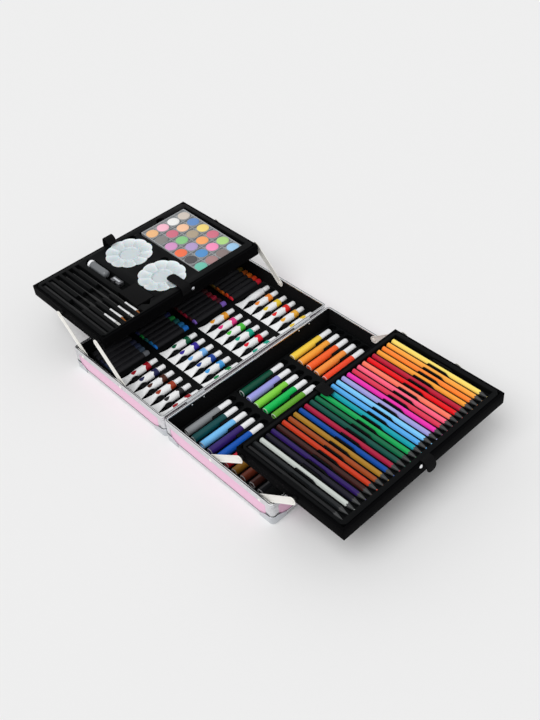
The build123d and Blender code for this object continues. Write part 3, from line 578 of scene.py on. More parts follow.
# Butt hinges between the halves: plated steel leaves and pins, with small rivets whose tails show as
# bright dots on the lining.
hinge_starts, tail_insets, tail_height, lining_face = (47, 277), (6, 30), 36.0, 6.0
for name in ("right_hinge_leaves", "left_hinge_leaves", "hinge_pins"):
    dress(name, chrome)
tail_shape = turned("lining_tail", [(0.2, 0.9), (0.9, 0.75), (1.5, 0.3), (1.7, 0.0), (1.7, -0.4)], 12)
tail_shape.transform(along_x)
for side, facing in (("right", unturned), ("left", half_turn)):
    spots = [
        in_half(side, lining_face, start + inset, tail_height)
        for start in hinge_starts for inset in tail_insets
    ]
    tails = laid_out(
        f"{side}_hinge_rivet_tails", tail_shape, spots, [chrome], turns=[facing] * len(spots)
    )
    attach(tails, f"{side}_half")

# Marker insert: one vacuum-formed sheet of black plastic, with thirty bays whose walls are rounded
# over by the forming.
moulding = finish("black_moulding", paint("0b0c0d"), 0.45, specular=0.05)
grain(moulding, 0.0005, 0.15, shade=0.08)
wear(moulding, 0.36, 0.55, 0.012)
softened("marker_insert", 0.6, moulding, "right_half", segments=3)


# Felt markers: a blown plastic barrel in the ink's colour, a paler ring plug in its near end and a
# narrower white cap with a round end. They lie loose in their bays.
def tint_of(made):
    return node(made, "Attribute", attribute_name="tint").outputs["Color"]


def tinted(made):
    join(made, tint_of(made), surface(made)["Base Color"])
    return made


marker_barrel = tinted(finish("marker_barrel", (1, 1, 1), 0.3, specular=0.2, coat=0.1))
grain(marker_barrel, 0.002, 0.05, shade=0.03)
marker_white = finish("marker_white", paint("f4f5f7"), 0.3, specular=0.3)
grain(marker_white, 0.001, 0.05, shade=0.015)
marker_plug = finish("marker_plug", (1, 1, 1), 0.35, specular=0.2)
pale_plastic = (0.8, 0.8, 0.8, 1)
plug_tone = blend(marker_plug, 0.5, tint_of(marker_plug), pale_plastic)
join(marker_plug, plug_tone, surface(marker_plug)["Base Color"])
grain(marker_plug, 0.001, 0.05, shade=0.02)
marker_profile = [
    (0.1, 1.8), (3.6, 1.8), (3.8, 0.5), (4.2, 0.1), (5.5, 0.0), (5.9, 0.3), (6.1, 0.9), (6.4, 1.1),
    (6.55, 1.8), (6.55, 64.0), (6.4, 64.8), (5.8, 65.0), (5.6, 65.4), (5.75, 66.0), (5.8, 86.0),
    (5.6, 87.6), (4.8, 89.0), (3.4, 89.8), (1.5, 90.1), (0.1, 90.1),
]
marker_marks = [0] * 2 + [2] * 4 + [0] * 6 + [1] * 7
marker_shape = turned("marker", marker_profile, 24, marker_marks)
marker_shape.transform(along_y)
bay_floor = 4.6
marker_inset, marker_pitch, marker_end_gap, marker_axis = 24.0, 18.6, 3.0, bay_floor + 6.0
marker_rows = {
    "near": (18.0, "8f9295 0a4a4c 7ac6fc 36206e 0c56b8 c01f2c 8a5f1c 6c3020 40201a 1d1d20"),
    "middle": (131.5, "0b4c38 a2a2ea 88da48 14c25a 68ae32 1296a0 2b7fd0 2a3f9e 6a3a9e b24ab0"),
    "far": (245.0, "ffd84a ffa83a ff662c ff9a40 fa4c28 e8203a ec5a8c f29ab4 d88a5a b06a3a"),
}
for row, (start, codes) in marker_rows.items():
    spots = [
        in_half("right", marker_inset + marker_pitch * i, start + marker_end_gap, marker_axis)
        for i in range(10)
    ]
    markers = laid_out(
        f"markers_{row}", marker_shape, spots, [marker_barrel, marker_white, marker_plug],
        tints=[paint(code) for code in codes.split()], slip=(0, 0.0018, 0), seed=len(row),
        turns=[(0, 0.6 * i, 0) for i in range(10)],
    )
    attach(markers, "right_half")
    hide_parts(f"markers_{row}_row")

# Paint insert: a shallower formed sheet, with a bay for each tube, a dip under each row for the fingers
# and a bed for each row of crayons.
softened("paint_insert", 0.5, moulding, "left_half", segments=3)

# Paint tubes: white laminate tubes pressed flat and folded at the tail, with a wavy band and a drop in
# the paint's colour, a shoulder and a ribbed white cap.
tube_length, fan_length, filled_from, filled_over = 57.0, 18.0, 20.0, 14.0
waist_wide, fan_wide, belly_wide = 10.6, 9.6, 3.4
crimp_length, crimp_thick, swell, swell_over = 5.5, 1.3, 10.9, 30.0


def tube_form(point):
    z = point.z
    if z > tube_length:
        return point
    fan = max(1 - z / fan_length, 0)
    filled = min(max((z - filled_from) / filled_over, 0), 1)
    wide = waist_wide + fan_wide * fan ** 1.1 + belly_wide * filled ** 2 * (3 - 2 * filled)
    thick = crimp_thick
    if z > crimp_length:
        thick += swell * sin(min((z - crimp_length) / swell_over, 1) * pi / 2)
    reach = hypot(point.x, point.y)
    return Vector((point.x / reach * wide / 2, point.y / reach * thick / 2, z))


tube_profile = [(1, 0)] + [(1, z) for z in (0.3, 5.2, 5.5, 5.8, 9, 14, 20, 26, 32, 38, 44, 49, 53, 56, 57)]
tube_profile += [(6.2, 57.6), (5.6, 58.8), (4.3, 59.6), (4.3, 60.6), (5.0, 60.7), (5.2, 61.2)]
tube_profile += [(5.0, 71.6), (4.6, 72.3), (4.2, 72.5), (0.2, 72.5)]
tube_marks = [0] * 15 + [1] * (len(tube_profile) - 16)
tube_shape = turned("tube", tube_profile, 32, tube_marks, tube_form)
spot_of = tube_shape.attributes.new("label", "FLOAT_VECTOR", "POINT")
for i, vertex in enumerate(tube_shape.vertices):
    spot_of.data[i].vector = vertex.co * 1000
tube_shape.transform(along_y)
tube_laminate = finish("tube_laminate", paint("f6f7f8"), 0.32, specular=0.25)
label = node(tube_laminate, "Attribute", attribute_name="label")
parts_of = node(tube_laminate, "SeparateXYZ")
join(tube_laminate, label.outputs["Vector"], parts_of.inputs[0])
across, height, along = parts_of.outputs


def worked(operation, *values):
    step = node(tube_laminate, "Math", operation=operation)
    for place, value in enumerate(values):
        feed(tube_laminate, step.inputs[place], value)
    return step.outputs[0]


band_wave, band_swing, band_start = 0.75, 1.5, 47.5
drop_tip, drop_length, drop_fullness = 32.0, 11.0, 90.0
wave = worked("SINE", worked("MULTIPLY", across, band_wave))
band = worked("GREATER_THAN", along, worked("MULTIPLY_ADD", wave, band_swing, band_start))
fallen = worked("MAXIMUM", worked("DIVIDE", worked("SUBTRACT", drop_tip, along), drop_length), 0.0)
fullness = worked("MULTIPLY", worked("MULTIPLY", fallen, fallen), drop_fullness)
fullness = worked("MULTIPLY", fullness, worked("SUBTRACT", 1.0, fallen))
in_drop = worked("LESS_THAN", worked("MULTIPLY", across, across), fullness)
drop = worked("MULTIPLY", in_drop, worked("LESS_THAN", height, 0.0))
printed = worked("MAXIMUM", band, drop)
tube_print = blend(tube_laminate, printed, (*paint("f6f7f8"), 1), tint_of(tube_laminate))
join(tube_laminate, tube_print, surface(tube_laminate)["Base Color"])
grain(tube_laminate, 0.004, 0.08, shade=0.01)
tube_white = finish("tube_cap_white", paint("f4f5f7"), 0.32, specular=0.3)
grain(tube_white, 0.001, 0.05, shade=0.015)
tube_start, row_pitch, tube_inset, tube_pitch, tube_axis = 19.0, 85.3, 30.5, 21.9, bay_floor + 6.2
tube_rows = (
    "9c1522 1a1a1d a03a20 4a2418 20234f a01422",
    "13874a 4aa2e4 1c4296 7ab6f0 38289a 0f5a3c",
    "18a28a e41832 16a888 4cc23e ec3c8a f2a232",
    "f0cc40 f2b23e e42c28 f2d23c f28a2e e9ebee",
)
for number, codes in enumerate(tube_rows):
    spots = [
        in_half("left", tube_inset + tube_pitch * i, tube_start + row_pitch * number, tube_axis)
        for i in range(6)
    ]
    tubes = laid_out(
        f"paint_tubes_{number + 1}", tube_shape, spots, [tube_laminate, tube_white],
        tints=[paint(code) for code in codes.split()], slip=(0.0002, 0.0003, 0), seed=number,
    )
    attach(tubes, "left_half")
    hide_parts(f"paint_tubes_row_{number + 1}")


# Lugs of the paint insert: rounded bosses moulded between the tubes, a little longer than they are wide,
# which hold the tubes at the waist and at the cap.
def longer(point):
    return Vector((point.x, 1.35 * point.y, point.z))


for label, reach, top, from_tail in (("waist", 6.2, 4.8, 21.0), ("cap", 6.0, 3.4, 64.0)):
    lug_profile = [
        (0.2, top), (0.5 * reach, 0.88 * top), (0.8 * reach, 0.6 * top), (0.95 * reach, 0.2 * top),
        (reach, -6.0),
    ]
    lug_shape = turned(f"{label}_lug", lug_profile, 20, squash=longer)
    spots = [
        in_half("left", tube_inset + tube_pitch * (i - 0.5), row_start + from_tail, tube_axis)
        for row_start in (tube_start + row_pitch * number for number in range(4)) for i in range(1, 6)
    ]
    lugs = laid_out(f"{label}_lugs", lug_shape, spots, [moulding])
    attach(lugs, "left_half")

# Crayons: wax sticks in black paper wrappers that leave the coloured ends bare. Six lie next to each row
# of tubes.
crayon_profile = [
    (0.2, 0.0), (5.2, 0.0), (5.7, 0.5), (5.7, 3.0), (6.1, 3.1), (6.1, 61.0), (5.7, 61.1), (5.7, 69.0),
    (4.8, 71.6), (4.3, 72.0), (0.2, 72.0),
]
crayon_shape = turned("crayon", crayon_profile, 20, [0] * 3 + [1] * 3 + [0] * 4)
crayon_shape.transform(along_y)
wax = tinted(finish("crayon_wax", (1, 1, 1), 0.5, specular=0.2))
grain(wax, 0.0015, 0.15, shade=0.08)
wrapper = finish("crayon_wrapper", paint("222225"), 0.5, specular=0.12)
grain(wrapper, 0.0006, 0.2, shade=0.1)
crayon_start, crayon_inset, crayon_pitch, crayon_axis = 23.0, 165.7, 12.5, bay_floor + 6.1
crayon_rows = (
    "6a6e74 3a4a5c 2a3450 20243c 1c1c22 141417",
    "1c74d0 1a6aa0 135a5c 178a3e 1c2450 102018",
    "8a66cc 4a1020 b0183a 7c1424 3a1014 201014",
    "e8283a f24a22 f87a20 b85a1c 6a5418 3a2a14",
)
spots = [
    in_half("left", crayon_inset + crayon_pitch * i, crayon_start + row_pitch * number, crayon_axis)
    for number in range(4) for i in range(6)
]
tints = [paint(code) for codes in crayon_rows for code in codes.split()]
crayons = laid_out("crayon_sticks", crayon_shape, spots, [wax, wrapper], tints=tints, slip=(0, 0.0008, 0))
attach(crayons, "left_half")
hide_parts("crayons")

# Tray boxes: boards covered with black grained paper, and the formed plastic inserts that fill them. In
# the pencil tray the low ribs between the pencils run out before the tips, and the grip ribs slope down
# at both ends and meet in a shelf at the near edge.
grained_paper = finish("grained_paper", paint("060607"), 0.7, specular=0.02)
grain(grained_paper, 0.0009, 0.15, shade=0.12)
insert_plastic = finish("tray_moulding", paint("0b0c0d"), 0.45, specular=0.05)
grain(insert_plastic, 0.0006, 0.1, shade=0.06)
wear(insert_plastic, 0.4, 0.55, 0.02)
softened("pencil_tray_box", 0.6, grained_paper, "right_tray")
softened("palette_tray_box", 0.6, grained_paper, "left_tray")
tray_width, tray_end_gap, pivot_inset, pivot_rise = 205.0, 13.0, 12.8, 10.0
insert_top = 21.7
pocket_floor = insert_top - 9.3
rib_end, rib_height, rib_drop = 162.0, 3.0, 2.7
grip_ends, grip_flat, grip_height, grip_drop = (83.0, 127.0), (86.5, 118.0), 8.6, 0.4
near_enough = 5e-5


def on_right_tray(a, b, z):
    u, height = pivots_of_tray("right")[0]
    return in_half("right", u - pivot_inset + a, tray_end_gap + b, height - pivot_rise + z)


def on_left_tray(d, b, z):
    u, height = pivots_of_tray("left")[0]
    return in_half("left", u - pivot_inset + tray_width - d, tray_end_gap + b, height - pivot_rise + z)


def ribs_run_out(shell):
    rib_top = on_right_tray(rib_end, 0, pocket_floor + rib_height)
    grip_near, grip_far = (on_right_tray(a, 0, 0).x for a in grip_ends)
    grip_top = on_right_tray(0, 0, pocket_floor + grip_height).z
    for a in (*grip_flat, rib_end):
        everything = [*shell.verts, *shell.edges, *shell.faces]
        bmesh.ops.bisect_plane(shell, geom=everything, plane_co=on_right_tray(a, 0, 0), plane_no=(1, 0, 0))
    for vertex in shell.verts:
        x, level = vertex.co.x, vertex.co.z
        if abs(level - grip_top) < near_enough:
            at_end = min(abs(x - grip_near), abs(x - grip_far)) < near_enough
            vertex.co.z = rib_top.z if at_end else grip_top - grip_drop / 1000
        elif x > rib_top.x + 1e-5 and abs(level - rib_top.z) < near_enough:
            vertex.co.z = rib_top.z - rib_drop / 1000
    bmesh.ops.remove_doubles(shell, verts=shell.verts, dist=2e-6)


softened(
    "pencil_tray_insert", 0.5, insert_plastic, "right_tray", segments=3,
    reshape=ribs_run_out,
)


def prism(name, place, outline, low, high, made):
    verts = [place(x, y, z) for z in (low, high) for x, y in outline]
    return mesh_piece(name, verts, capped_faces(2, len(outline)), [made])


# The recess of the watercolour box leaves a wider edge outside, is deeper towards the hinges, and has a
# finger notch in its outer wall.
recess_outer, recess_inner, recess_far = (13.5, 19.5), (184.5, 186.5), (315.5, 319.0)
recess_start, recess_depth, recess_dip, wall_slack = 212.0, 8.5, 5.0, 0.2
notch_radius, notch_place, notch_points = 9.0, 263.0, 32


def box_recess(shell):
    origin = on_left_tray(0, 0, insert_top - recess_depth)
    for vertex in shell.verts:
        d, b, depth = (vertex.co - origin) * 1000
        off_wall = min(abs(d - recess_outer[0]), abs(d - recess_inner[0]))
        if off_wall < wall_slack and b > recess_start:
            at_inner = d > tray_width / 2
            d = recess_inner[1] if at_inner else recess_outer[1]
            b = recess_far[1] if b > notch_place else b
            depth = -recess_dip if at_inner and depth < 1 else depth
            vertex.co = origin + mm(d, b, depth)


notch_turns = [2 * pi * i / notch_points for i in range(notch_points)]
notch_outline = [
    (recess_outer[1] + notch_radius * cos(t), notch_place + notch_radius * sin(t)) for t in notch_turns
]
notch = prism("notch", on_left_tray, notch_outline, insert_top - 7.0, insert_top + 1.0, insert_plastic)
softened(
    "palette_tray_insert", 0.5, insert_plastic, "left_tray", segments=3,
    reshape=box_recess, cutter=notch,
)
shelf_outline = [(80.0, 8.6), (grip_flat[0], 11.6), (grip_flat[1], 11.6), (130.0, 8.6)]
grip_shelf = prism(
    "grip_shelf", on_right_tray, shelf_outline, insert_top - 1.4, insert_top + 0.1, insert_plastic
)
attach(grip_shelf, "right_tray")

# Coloured pencils: six-sided lacquered barrels, cut to a dark cone that meets the flats in scallops, with
# the lead standing out of it. They lie side by side in the tray's pocket.
pencil_sides, pencil_flat, pencil_ridge = 36, 3.5, 3.9
cone_start, cone_length, cone_middle, lead_radius = 166.0, 11.0, 2.2, 1.1


def barrel_radius(i):
    from_flat = (i * 360 / pencil_sides + 30) % 60 - 30
    return min(pencil_flat / cos(radians(from_flat)), pencil_ridge)


def even(value):
    return [value] * pencil_sides


cone_slope = (pencil_flat - lead_radius) / cone_length
barrel = [barrel_radius(i) for i in range(pencil_sides)]
scallops = [cone_start - (radius - pencil_flat) / cone_slope for radius in barrel]
pencil_levels = (
    (even(0.9), even(0.0)), ([radius - 0.35 for radius in barrel], even(0.0)), (barrel, even(0.4)),
    (barrel, even(155.0)), (barrel, scallops),
    (even(cone_middle), even(cone_start + (pencil_flat - cone_middle) / cone_slope)),
    (even(lead_radius), even(cone_start + cone_length)), (even(0.75), even(178.6)), (even(0.3), even(179.5)),
)
pencil_turns = [2 * pi * i / pencil_sides for i in range(pencil_sides)]
rings = [
    [Vector((radius * cos(t), radius * sin(t), z)) for radius, t, z in zip(radii, pencil_turns, levels)]
    for radii, levels in pencil_levels
]
pencil_shape = ringed("pencil", rings, [1, 0, 0, 0, 1, 1, 2, 2, 2, 2], 20)
pencil_shape.transform(along_x)
lacquer = tinted(finish("pencil_lacquer", (1, 1, 1), 0.32, specular=0.2, coat=0.08))
grain(lacquer, 0.003, 0.06, shade=0.03, stretch=(0.2, 1, 1))
cone_wood = finish("pencil_cone", paint("3a3b3c"), 0.45, specular=0.3)
grain(cone_wood, 0.0006, 0.12, shade=0.15, stretch=(0.15, 1, 1))
lead = tinted(finish("pencil_lead", (1, 1, 1), 0.45))
grain(lead, 0.0005, 0.2, shade=0.1)
pencil_tints = (
    "0f1012 1b1e20 c6ccc7 12101f 2c175c 3a1a16 c43a1e 9c481f a87c28 08489e a81c3e 0e4e44 106a46 18a858 "
    "12a2b0 58aef0 80ccfa a6a2de f034b0 de3c58 ff6686 ff8068 e6141c ba1a36 fca63c ff8a34 ffae46 ffe674"
).split()
pencil_backs = (
    10, 9, 12, 13, 11, 11, 10.5, 12.5, 11, 11, 11, 11, 11, 12, 12, 11, 11, 11, 13, 14.5, 13, 14.5, 13.5,
    16.5, 15.5, 14, 13.5, 15.5,
)
pencil_inset, pencil_pitch, pencil_axis = 14.0, 11.0, pocket_floor + pencil_flat
back_slack, furthest_back = 0.5, 12.3
spots = [
    on_right_tray(min(back + back_slack, furthest_back), pencil_inset + pencil_pitch * i, pencil_axis)
    for i, back in enumerate(pencil_backs)
]
pencils = laid_out(
    "pencils", pencil_shape, spots, [lacquer, cone_wood, lead], tints=[paint(c) for c in pencil_tints]
)
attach(pencils, "right_tray")
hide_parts("coloured_pencils")


# Mixing palettes: thin dishes of milky plastic, ten shallow petals round a ringed middle, with a lobed lip
# that rests on the insert.
palette_hub, palette_lip, palette_wall = 18.4, insert_top + 1.0, 0.8
palette_petals, palette_radius, lobe_height = 10, 38.9, 2.9
lip_share, lip_rise, lip_span = 0.93, 0.7, 0.07
hub_depth, hub_ring, hub_ring_height = 4.6, 1.2, 3.6
well_top, well_depth, well_fall = -0.7, 4.4, 1.4


def palette_edge(t):
    return palette_radius + lobe_height * abs(cos(palette_petals / 2 * t)) ** 0.7


def palette_level(r, t):
    petal = 2 * pi / palette_petals
    off_petal = abs(t / petal - round(t / petal)) * 2
    out = (r - palette_hub - hub_ring) / (palette_edge(t) - palette_hub - hub_ring)
    if r < palette_hub - hub_ring:
        return -hub_depth
    if out < 0:
        return -hub_depth + hub_ring_height * sin((r - palette_hub + hub_ring) / (2 * hub_ring) * pi)
    bowl = sin(min(out / lip_share, 1) * pi) ** 0.45
    well = well_depth * bowl * (1 - off_petal ** 4) * (1 - 0.5 * out)
    lip = lip_rise * max(out - lip_share, 0) / lip_span
    return well_top - well - well_fall * (1 - out) + lip


def palette_mesh(d, b, first):
    sides, steps = 200, 40
    verts, faces = [], []
    for under in (0.0, -palette_wall):
        for i in range(steps + 1):
            for j in range(sides):
                t = 2 * pi * j / sides
                r = palette_edge(t) * max(i / steps, 0.004)
                z = palette_lip + palette_level(r, t) + under
                verts.append(on_left_tray(d + r * cos(t), b + r * sin(t), z))
    layer = (steps + 1) * sides
    for start in (first, first + layer):
        faces += ring_faces(steps + 1, sides, start)
        faces.append(tuple(range(start, start + sides)))
    lip = first + steps * sides
    for j in range(sides):
        k = (j + 1) % sides
        faces.append((lip + j, lip + k, layer + lip + k, layer + lip + j))
    return verts, faces


palette_white = finish("palette_white", paint("e3e8ea"), 0.32, specular=0.25)
surface(palette_white)["Subsurface Weight"].default_value = 0.2
surface(palette_white)["Subsurface Scale"].default_value = 0.002
# Painted shade: the base colour goes from a darker grey at the bottoms of the wells and in the hub to near
# white at the lip, by height.
palette_where = node(palette_white, "TexCoord")
palette_height = node(palette_white, "SeparateXYZ")
join(palette_white, palette_where.outputs["Object"], palette_height.inputs[0])
well_shade_by_height = node(palette_white, "MapRange")
well_shade_by_height.inputs["From Min"].default_value = on_left_tray(0, 0, palette_lip - 4.8).z
well_shade_by_height.inputs["From Max"].default_value = on_left_tray(0, 0, palette_lip - 0.6).z
join(palette_white, palette_height.outputs["Z"], well_shade_by_height.inputs["Value"])
milk_with_well_shade = blend(palette_white, well_shade_by_height.outputs[0], (*paint("c9d2d5"), 1), (*paint("eaeef0"), 1))
join(palette_white, milk_with_well_shade, surface(palette_white)["Base Color"])
grain(palette_white, 0.003, 0.03, shade=0.01)
palette_verts, palette_faces = [], []
for d, b in ((54.0, 165.0), (148.0, 164.0)):
    verts, faces = palette_mesh(d, b, len(palette_verts))
    palette_verts += verts
    palette_faces += faces
palettes = smooth(mesh_piece("palettes", palette_verts, palette_faces, [palette_white]), 60)
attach(palettes, "left_tray")
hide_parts("mixing_palettes")

# Watercolour box: a grey translucent base with a square cell for each pan, and a raised edge that the
# clear cover snaps over. It has slid towards the hinges and lies with that end down in its recess.
box_d, box_b, box_wide, box_long, box_short = 99.0, 264.0, 166.0, 98.0, 2.5
pan_pitch_d, pan_pitch_b, cell_wall, cell_gap = 27.0, 24.3, 0.4, 1.0
cell_top, cell_floor = insert_top - 0.6, insert_top - 4.5
box_hinge = on_left_tray(16.0, box_b, insert_top)
box_lean = (
    Matrix.Translation(box_hinge + mm(6.0, 1.2, 0.8)) @ Matrix.Rotation(radians(1.93), 4, "Y")
    @ Matrix.Translation(-box_hinge)
)
box_grey = finish("box_grey", paint("b2b5b7"), 0.3, specular=0.3)
grain(box_grey, 0.002, 0.05, shade=0.05)
cover_edge = finish("cover_edge", paint("a9acae"), 0.2, specular=0.4)
grain(cover_edge, 0.002, 0.03, shade=0.03)


def shorter_box(shell):
    inner_end = on_left_tray(178.0, 0, 0).x
    for vertex in shell.verts:
        if vertex.co.x > inner_end:
            vertex.co.x -= box_short / 1000


box = softened("watercolour_box", 0.5, box_grey, "left_tray", reshape=shorter_box)
box.data.transform(box_lean)
low_d, high_d = box_d - box_wide / 2 + cell_gap, box_d + box_wide / 2 - cell_gap - box_short
low_b, high_b = box_b - box_long / 2 + cell_gap, box_b + box_long / 2 - cell_gap
bars = []
for i in range(-2, 3):
    d = box_d + i * pan_pitch_d
    bars.append(((d - cell_wall, d + cell_wall), (low_b, high_b)))
for i in range(-1, 2):
    b = box_b + i * pan_pitch_b
    bars.append(((low_d, high_d), (b - cell_wall, b + cell_wall)))
verts, faces = [], []
for d_ends, b_ends in bars:
    faces += capped_faces(2, 4, len(verts))
    for z in (cell_floor, cell_top):
        verts += [on_left_tray(d_ends[i], b_ends[j], z) for i, j in ((0, 0), (1, 0), (1, 1), (0, 1))]
dividers = mesh_piece("pan_dividers", verts, faces, [cover_edge])
dividers.data.transform(box_lean)
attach(dividers, "left_tray")

# Watercolour pans: round cakes of pressed colour with a matt, slightly rough face, each in a low grey
# ring that sits in its cell.
cake = tinted(finish("paint_cake", (1, 1, 1), 0.75, specular=0.12))
grain(cake, 0.0015, 0.35, shade=0.06)
pan_profile = [
    (11.9, 0.0), (11.9, 2.6), (11.7, 3.0), (11.4, 3.0), (11.2, 2.6), (11.1, 2.5), (11.0, 3.2), (10.4, 3.6),
    (6.0, 3.7), (0.2, 3.75),
]
pan_shape = turned("pan", pan_profile, 32, [1] * 5 + [0] * 4)
pan_codes = (
    "f2be8a 8b8987 da9ccb f57b58 5b5a5c 78c8b4",
    "fabfd0 d4788a 8ecb8c b8a2cf 5e97cf ae8a8a",
    "f1f0ee f8c8a6 b3a48e fbac70 fa98c2 8f807e",
    "d3c9be 6c92c8 f4da82 d67a8c b2dc8a a4ceee",
)
spots = [
    on_left_tray(box_d + (column - 2.5) * pan_pitch_d, box_b + (line - 1.5) * pan_pitch_b, cell_floor)
    for line in range(4) for column in range(6)
]
tints = [paint(code) for codes in pan_codes for code in codes.split()]
pans = laid_out("pans", pan_shape, spots, [cake, box_grey], tints=tints)
pans.data.transform(box_lean)
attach(pans, "left_tray")
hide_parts("watercolour_pans")

# Brushes: turned black handles, pale metal ferrules with two pressed rings, and tufts made of separate
# hairs, two round ones of brown hair and two flat ones of white.
brush_black = finish("brush_lacquer", paint("0b0b0c"), 0.25, specular=0.3)
grain(brush_black, 0.003, 0.04, shade=0.05, stretch=(0.2, 1, 1))
ferrule_white = finish("ferrule_white", paint("f2f3f4"), 0.3, specular=0.3)
grain(ferrule_white, 0.001, 0.04, shade=0.02)
brush_places = ((41.5, 152.0), (55.0, 149.0), (68.5, 153.0), (82.0, 154.0))
brush_axis, handle_reach, tuft_start, tuft_dome = pocket_floor + 3.0, 136.0, 29.5, 1.2
handle_profile = [
    (0.4, 0.0), (1.3, 0.3), (1.7, 1.5), (1.8, 20.0), (2.3, 60.0), (2.9, 100.0), (3.0, 115.0), (2.7, 128.0),
    (2.4, 135.0), (0.4, 135.0),
]
ferrule_profile = [
    (2.4, -1.0), (2.75, -0.8), (2.75, 4.0), (2.5, 4.4), (2.5, 4.9), (2.75, 5.3), (2.75, 7.0), (2.5, 7.4),
    (2.5, 7.9), (2.8, 8.3), (3.5, 29.6), (3.3, 30.0), (1.8, 30.0),
]
handle_shape = turned("brush_handle", handle_profile, 16)
handle_shape.transform(along_x)
ferrule_shape = turned("brush_ferrule", ferrule_profile, 16)
ferrule_shape.transform(along_x)
spots = [on_left_tray(start - handle_reach, b, brush_axis) for b, start in brush_places]
handles = laid_out("brush_sticks", handle_shape, spots, [brush_black])
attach(handles, "left_tray")
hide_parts("brush_handles")
spots = [on_left_tray(start, b, brush_axis) for b, start in brush_places]
ferrules = laid_out("ferrules", ferrule_shape, spots, [ferrule_white])
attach(ferrules, "left_tray")
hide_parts("brush_ferrules")
hair = tinted(finish("brush_hair", (1, 1, 1), 0.5, specular=0.3))
grain(hair, 0.0004, 0.2, shade=0.2)
hair_shape = turned("hair", [(0.14, 0.0), (0.16, 7.0), (0.11, 11.5), (0.02, 13.5)], 5)
hair_shape.transform(along_x)
hairs, golden = 150, pi * (3 - sqrt(5))
spots, turns, tints = [], [], []
for (b, start), flat in zip(brush_places, (True, False, True, False)):
    wide, thick, lean, code = (3.6, 1.4, 0.02, "e9e9e6") if flat else (2.6, 2.4, 0.15, "b8743a")
    for i in range(hairs):
        reach = sqrt((i + 0.5) / hairs)
        y, z = reach * cos(golden * i), reach * sin(golden * i)
        root = start + tuft_start - tuft_dome * reach
        spots.append(on_left_tray(root, b + wide * y, brush_axis + thick * z))
        turns.append((0, lean * z * (2 if flat else 1), -lean * y))
        shade = 0.82 + 0.3 * ((i * 7) % 11) / 10
        tints.append(tuple(min(c * shade, 1) for c in paint(code)))
tufts = laid_out("tufts", hair_shape, spots, [hair], tints=tints, turns=turns)
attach(tufts, "left_tray")
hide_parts("brush_tufts")

# Dark pencils, sharpener, glue tube and black box: the small things in the palette tray. The sharpener
# is a cast wedge with its blade screwed on, and the glue tube is clear grey with a white cap.
pencil_black = finish("pencil_black", paint("0e0e10"), 0.35, specular=0.2)
grain(pencil_black, 0.003, 0.05, shade=0.05, stretch=(0.2, 1, 1))
softened("dark_pencils", 0.4, pencil_black, "left_tray")
cast_metal = finish("cast_metal", paint("606164"), 0.5, metallic=0.8)
grain(cast_metal, 0.0006, 0.2, shade=0.08)
softened("sharpener", 0.5, cast_metal, "left_tray")
blade_outline = [(87.0, 105.5), (104.0, 105.5), (104.0, 109.0), (87.0, 109.0)]
blade = prism("sharpener_blade", on_left_tray, blade_outline, insert_top - 3.0, insert_top - 2.4, chrome)
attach(blade, "left_tray")
clear_grey = finish("clear_tube", paint("6a6d70"), 0.25, specular=0.5)
grain(clear_grey, 0.004, 0.05, shade=0.12)
glue_d, glue_b, glue_axis = 23.2, 104.0, insert_top - 11 + 7.8
glue_profile = [
    (0.3, 0.0), (6.6, 0.0), (7.4, 0.6), (7.6, 1.4), (7.6, 5.6), (7.2, 6.0), (7.1, 6.4), (7.2, 44.0),
    (6.6, 47.0), (4.4, 49.2), (0.3, 49.8),
]
glue_shape = turned("glue", glue_profile, 28, [1] * 5 + [0] * 5)
glue_shape.transform(along_x)
glue = laid_out("glue_stick", glue_shape, [on_left_tray(glue_d, glue_b, glue_axis)], [clear_grey, tube_white])
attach(glue, "left_tray")
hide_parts("glue_tube")
card = finish("black_card", paint("0a0a0b"), 0.5, specular=0.05)
grain(card, 0.0012, 0.2, shade=0.06)
softened("black_box", 0.4, card, "left_tray")

# Straps: black woven tape, riveted to the outside of a tray's wall and bent over its edge. The inner ones
# lie on the pencils and on a palette, and the outer ones stand as they were let go, open at their snap.
strap_wide, strap_thick, strap_tip, thread_count = 18.0, 1.3, 7.0, 900
tape = finish("woven_tape", paint("0b0b0c"), 0.85, specular=0.1)
where = node(tape, "TexCoord")
threads = node(tape, "TexChecker")
threads.inputs["Scale"].default_value = thread_count
join(tape, where.outputs["Object"], threads.inputs["Vector"])
thread_bump = node(tape, "Bump")
thread_bump.inputs["Strength"].default_value = 0.4
thread_bump.inputs["Distance"].default_value = 0.0003
join(tape, threads.outputs["Fac"], thread_bump.inputs["Height"])
join(tape, thread_bump.outputs[0], surface(tape)["Normal"])


def on_tray(side, a, b, z):
    return on_right_tray(a, b, z) if side == "right" else on_left_tray(tray_width - a, b, z)


def tape_band(side, centre, knots, first):
    path = []
    for (start, leave), (end, arrive) in zip(knots, knots[1:]):
        start, leave, end, arrive = (Vector((*pair, 0)) for pair in (start, leave, end, arrive))
        path += interpolate_bezier(start, start + leave, end - arrive, end, 12)[:-1]
    path.append(end)
    left = [0.0]
    for point, before in zip(reversed(path[:-1]), reversed(path)):
        left.append(left[-1] + (point - before).length)
    left.reverse()
    verts = []
    for i, point in enumerate(path):
        ahead_of = path[min(i + 1, len(path) - 1)] - path[max(i - 1, 0)]
        rise = Vector((-ahead_of.y, ahead_of.x, 0)).normalized() * strap_thick / 2
        short = max(strap_tip - left[i], 0)
        half = strap_wide / 2 - strap_tip + sqrt(strap_tip ** 2 - short ** 2)
        for face_of, across_by in ((rise, -half), (rise, half), (-rise, half), (-rise, -half)):
            spot = point + face_of
            verts.append(on_tray(side, spot.x, centre + across_by, spot.y))
    return verts, capped_faces(len(path), 4, first)


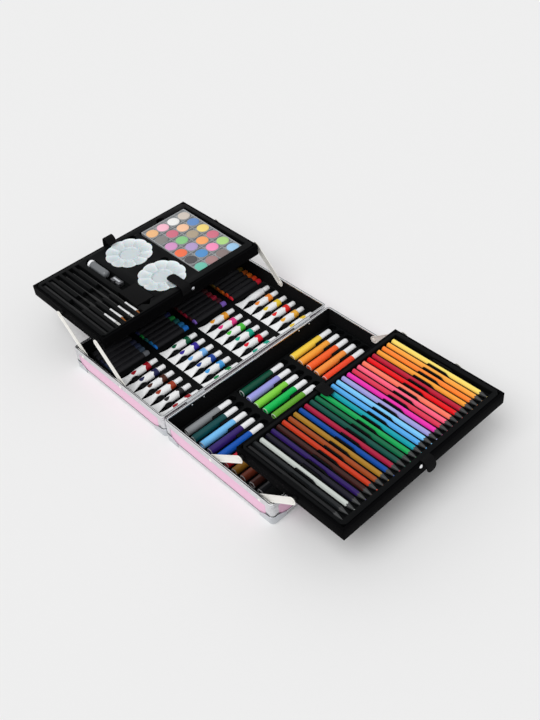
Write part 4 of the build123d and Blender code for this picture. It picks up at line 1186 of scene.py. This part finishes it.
foot_inner = [((-0.9, 10.5), (0, 4)), ((-0.9, 19.5), (0, 2.5))]
foot_outer = [((205.9, 10.5), (0, 4)), ((205.9, 19.5), (0, 3))]
over_pencils = [((4.0, 24.0), (4, 0.8)), ((17.0, 23.4), (5, 0)), ((28.0, 24.6), (3, 1.6))]
over_palette = [((4.0, 24.6), (4, 0.8)), ((24.0, 25.0), (8, 0)), ((44.0, 24.6), (5, -0.6))]
hanging_out = [
    ((200.0, 22.6), (2, 0)), ((206.5, 23.0), (3, -0.6)), ((212.6, 16.0), (1.4, -4)),
    ((214.6, 6.0), (0.6, -3)),
]
curled_up = [((204.0, 34.5), (-1.8, 3.6)), ((197.5, 37.4), (-3.6, -0.4)), ((189.0, 27.0), (-0.8, -4.6))]
straps = {
    "right": ((161.0, foot_inner + over_pencils), (161.0, hanging_out)),
    "left": ((170.0, foot_inner + over_palette), (158.0, foot_outer + curled_up)),
}
for side, name in (("right", "pencil_tray_straps"), ("left", "palette_tray_straps")):
    verts, faces = [], []
    for centre, knots in straps[side]:
        band_verts, band_faces = tape_band(side, centre, knots, len(verts))
        verts += band_verts
        faces += band_faces
    bands = smooth(mesh_piece(name + "_tape", verts, faces, [tape]), 50)
    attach(bands, f"{side}_tray")
    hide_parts(name)

# Snap studs of the straps: a white one on the pencil tray's outer wall, a plated one on the palette
# tray's inner wall.
stud_shape = turned("stud", [(0.2, 1.7), (1.6, 1.6), (2.4, 1.0), (2.8, 0.3), (3.2, 0.0), (3.2, -0.4)], 20)
stud_shape.transform(along_x)
for side, made, spot in (
    ("right", marker_white, on_tray("right", tray_width, 149.0, 17.0)),
    ("left", chrome, on_tray("left", 0.0, 184.0, 12.5)),
):
    stud = laid_out(f"{side}_tray_stud", stud_shape, [spot], [made])
    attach(stud, f"{side}_tray")

# Handle, its brackets and the draw latches on the outer wall: a black moulded bail on plated pins, and
# plated hasps.
handle_plastic = finish("handle_plastic", paint("0e0e0f"), 0.4, specular=0.25)
grain(handle_plastic, 0.0008, 0.35, shade=0.05)
softened("handle", 1.2, handle_plastic, "carrying_handle", segments=4)
for name, body in (
    ("handle_brackets", "right_half"), ("latch_plates", "right_half"), ("latch_strikes", "left_half"),
    ("latch_hasp_near", "near_latch"), ("latch_hasp_far", "far_latch"),
):
    softened(name, 0.2, chrome, body)
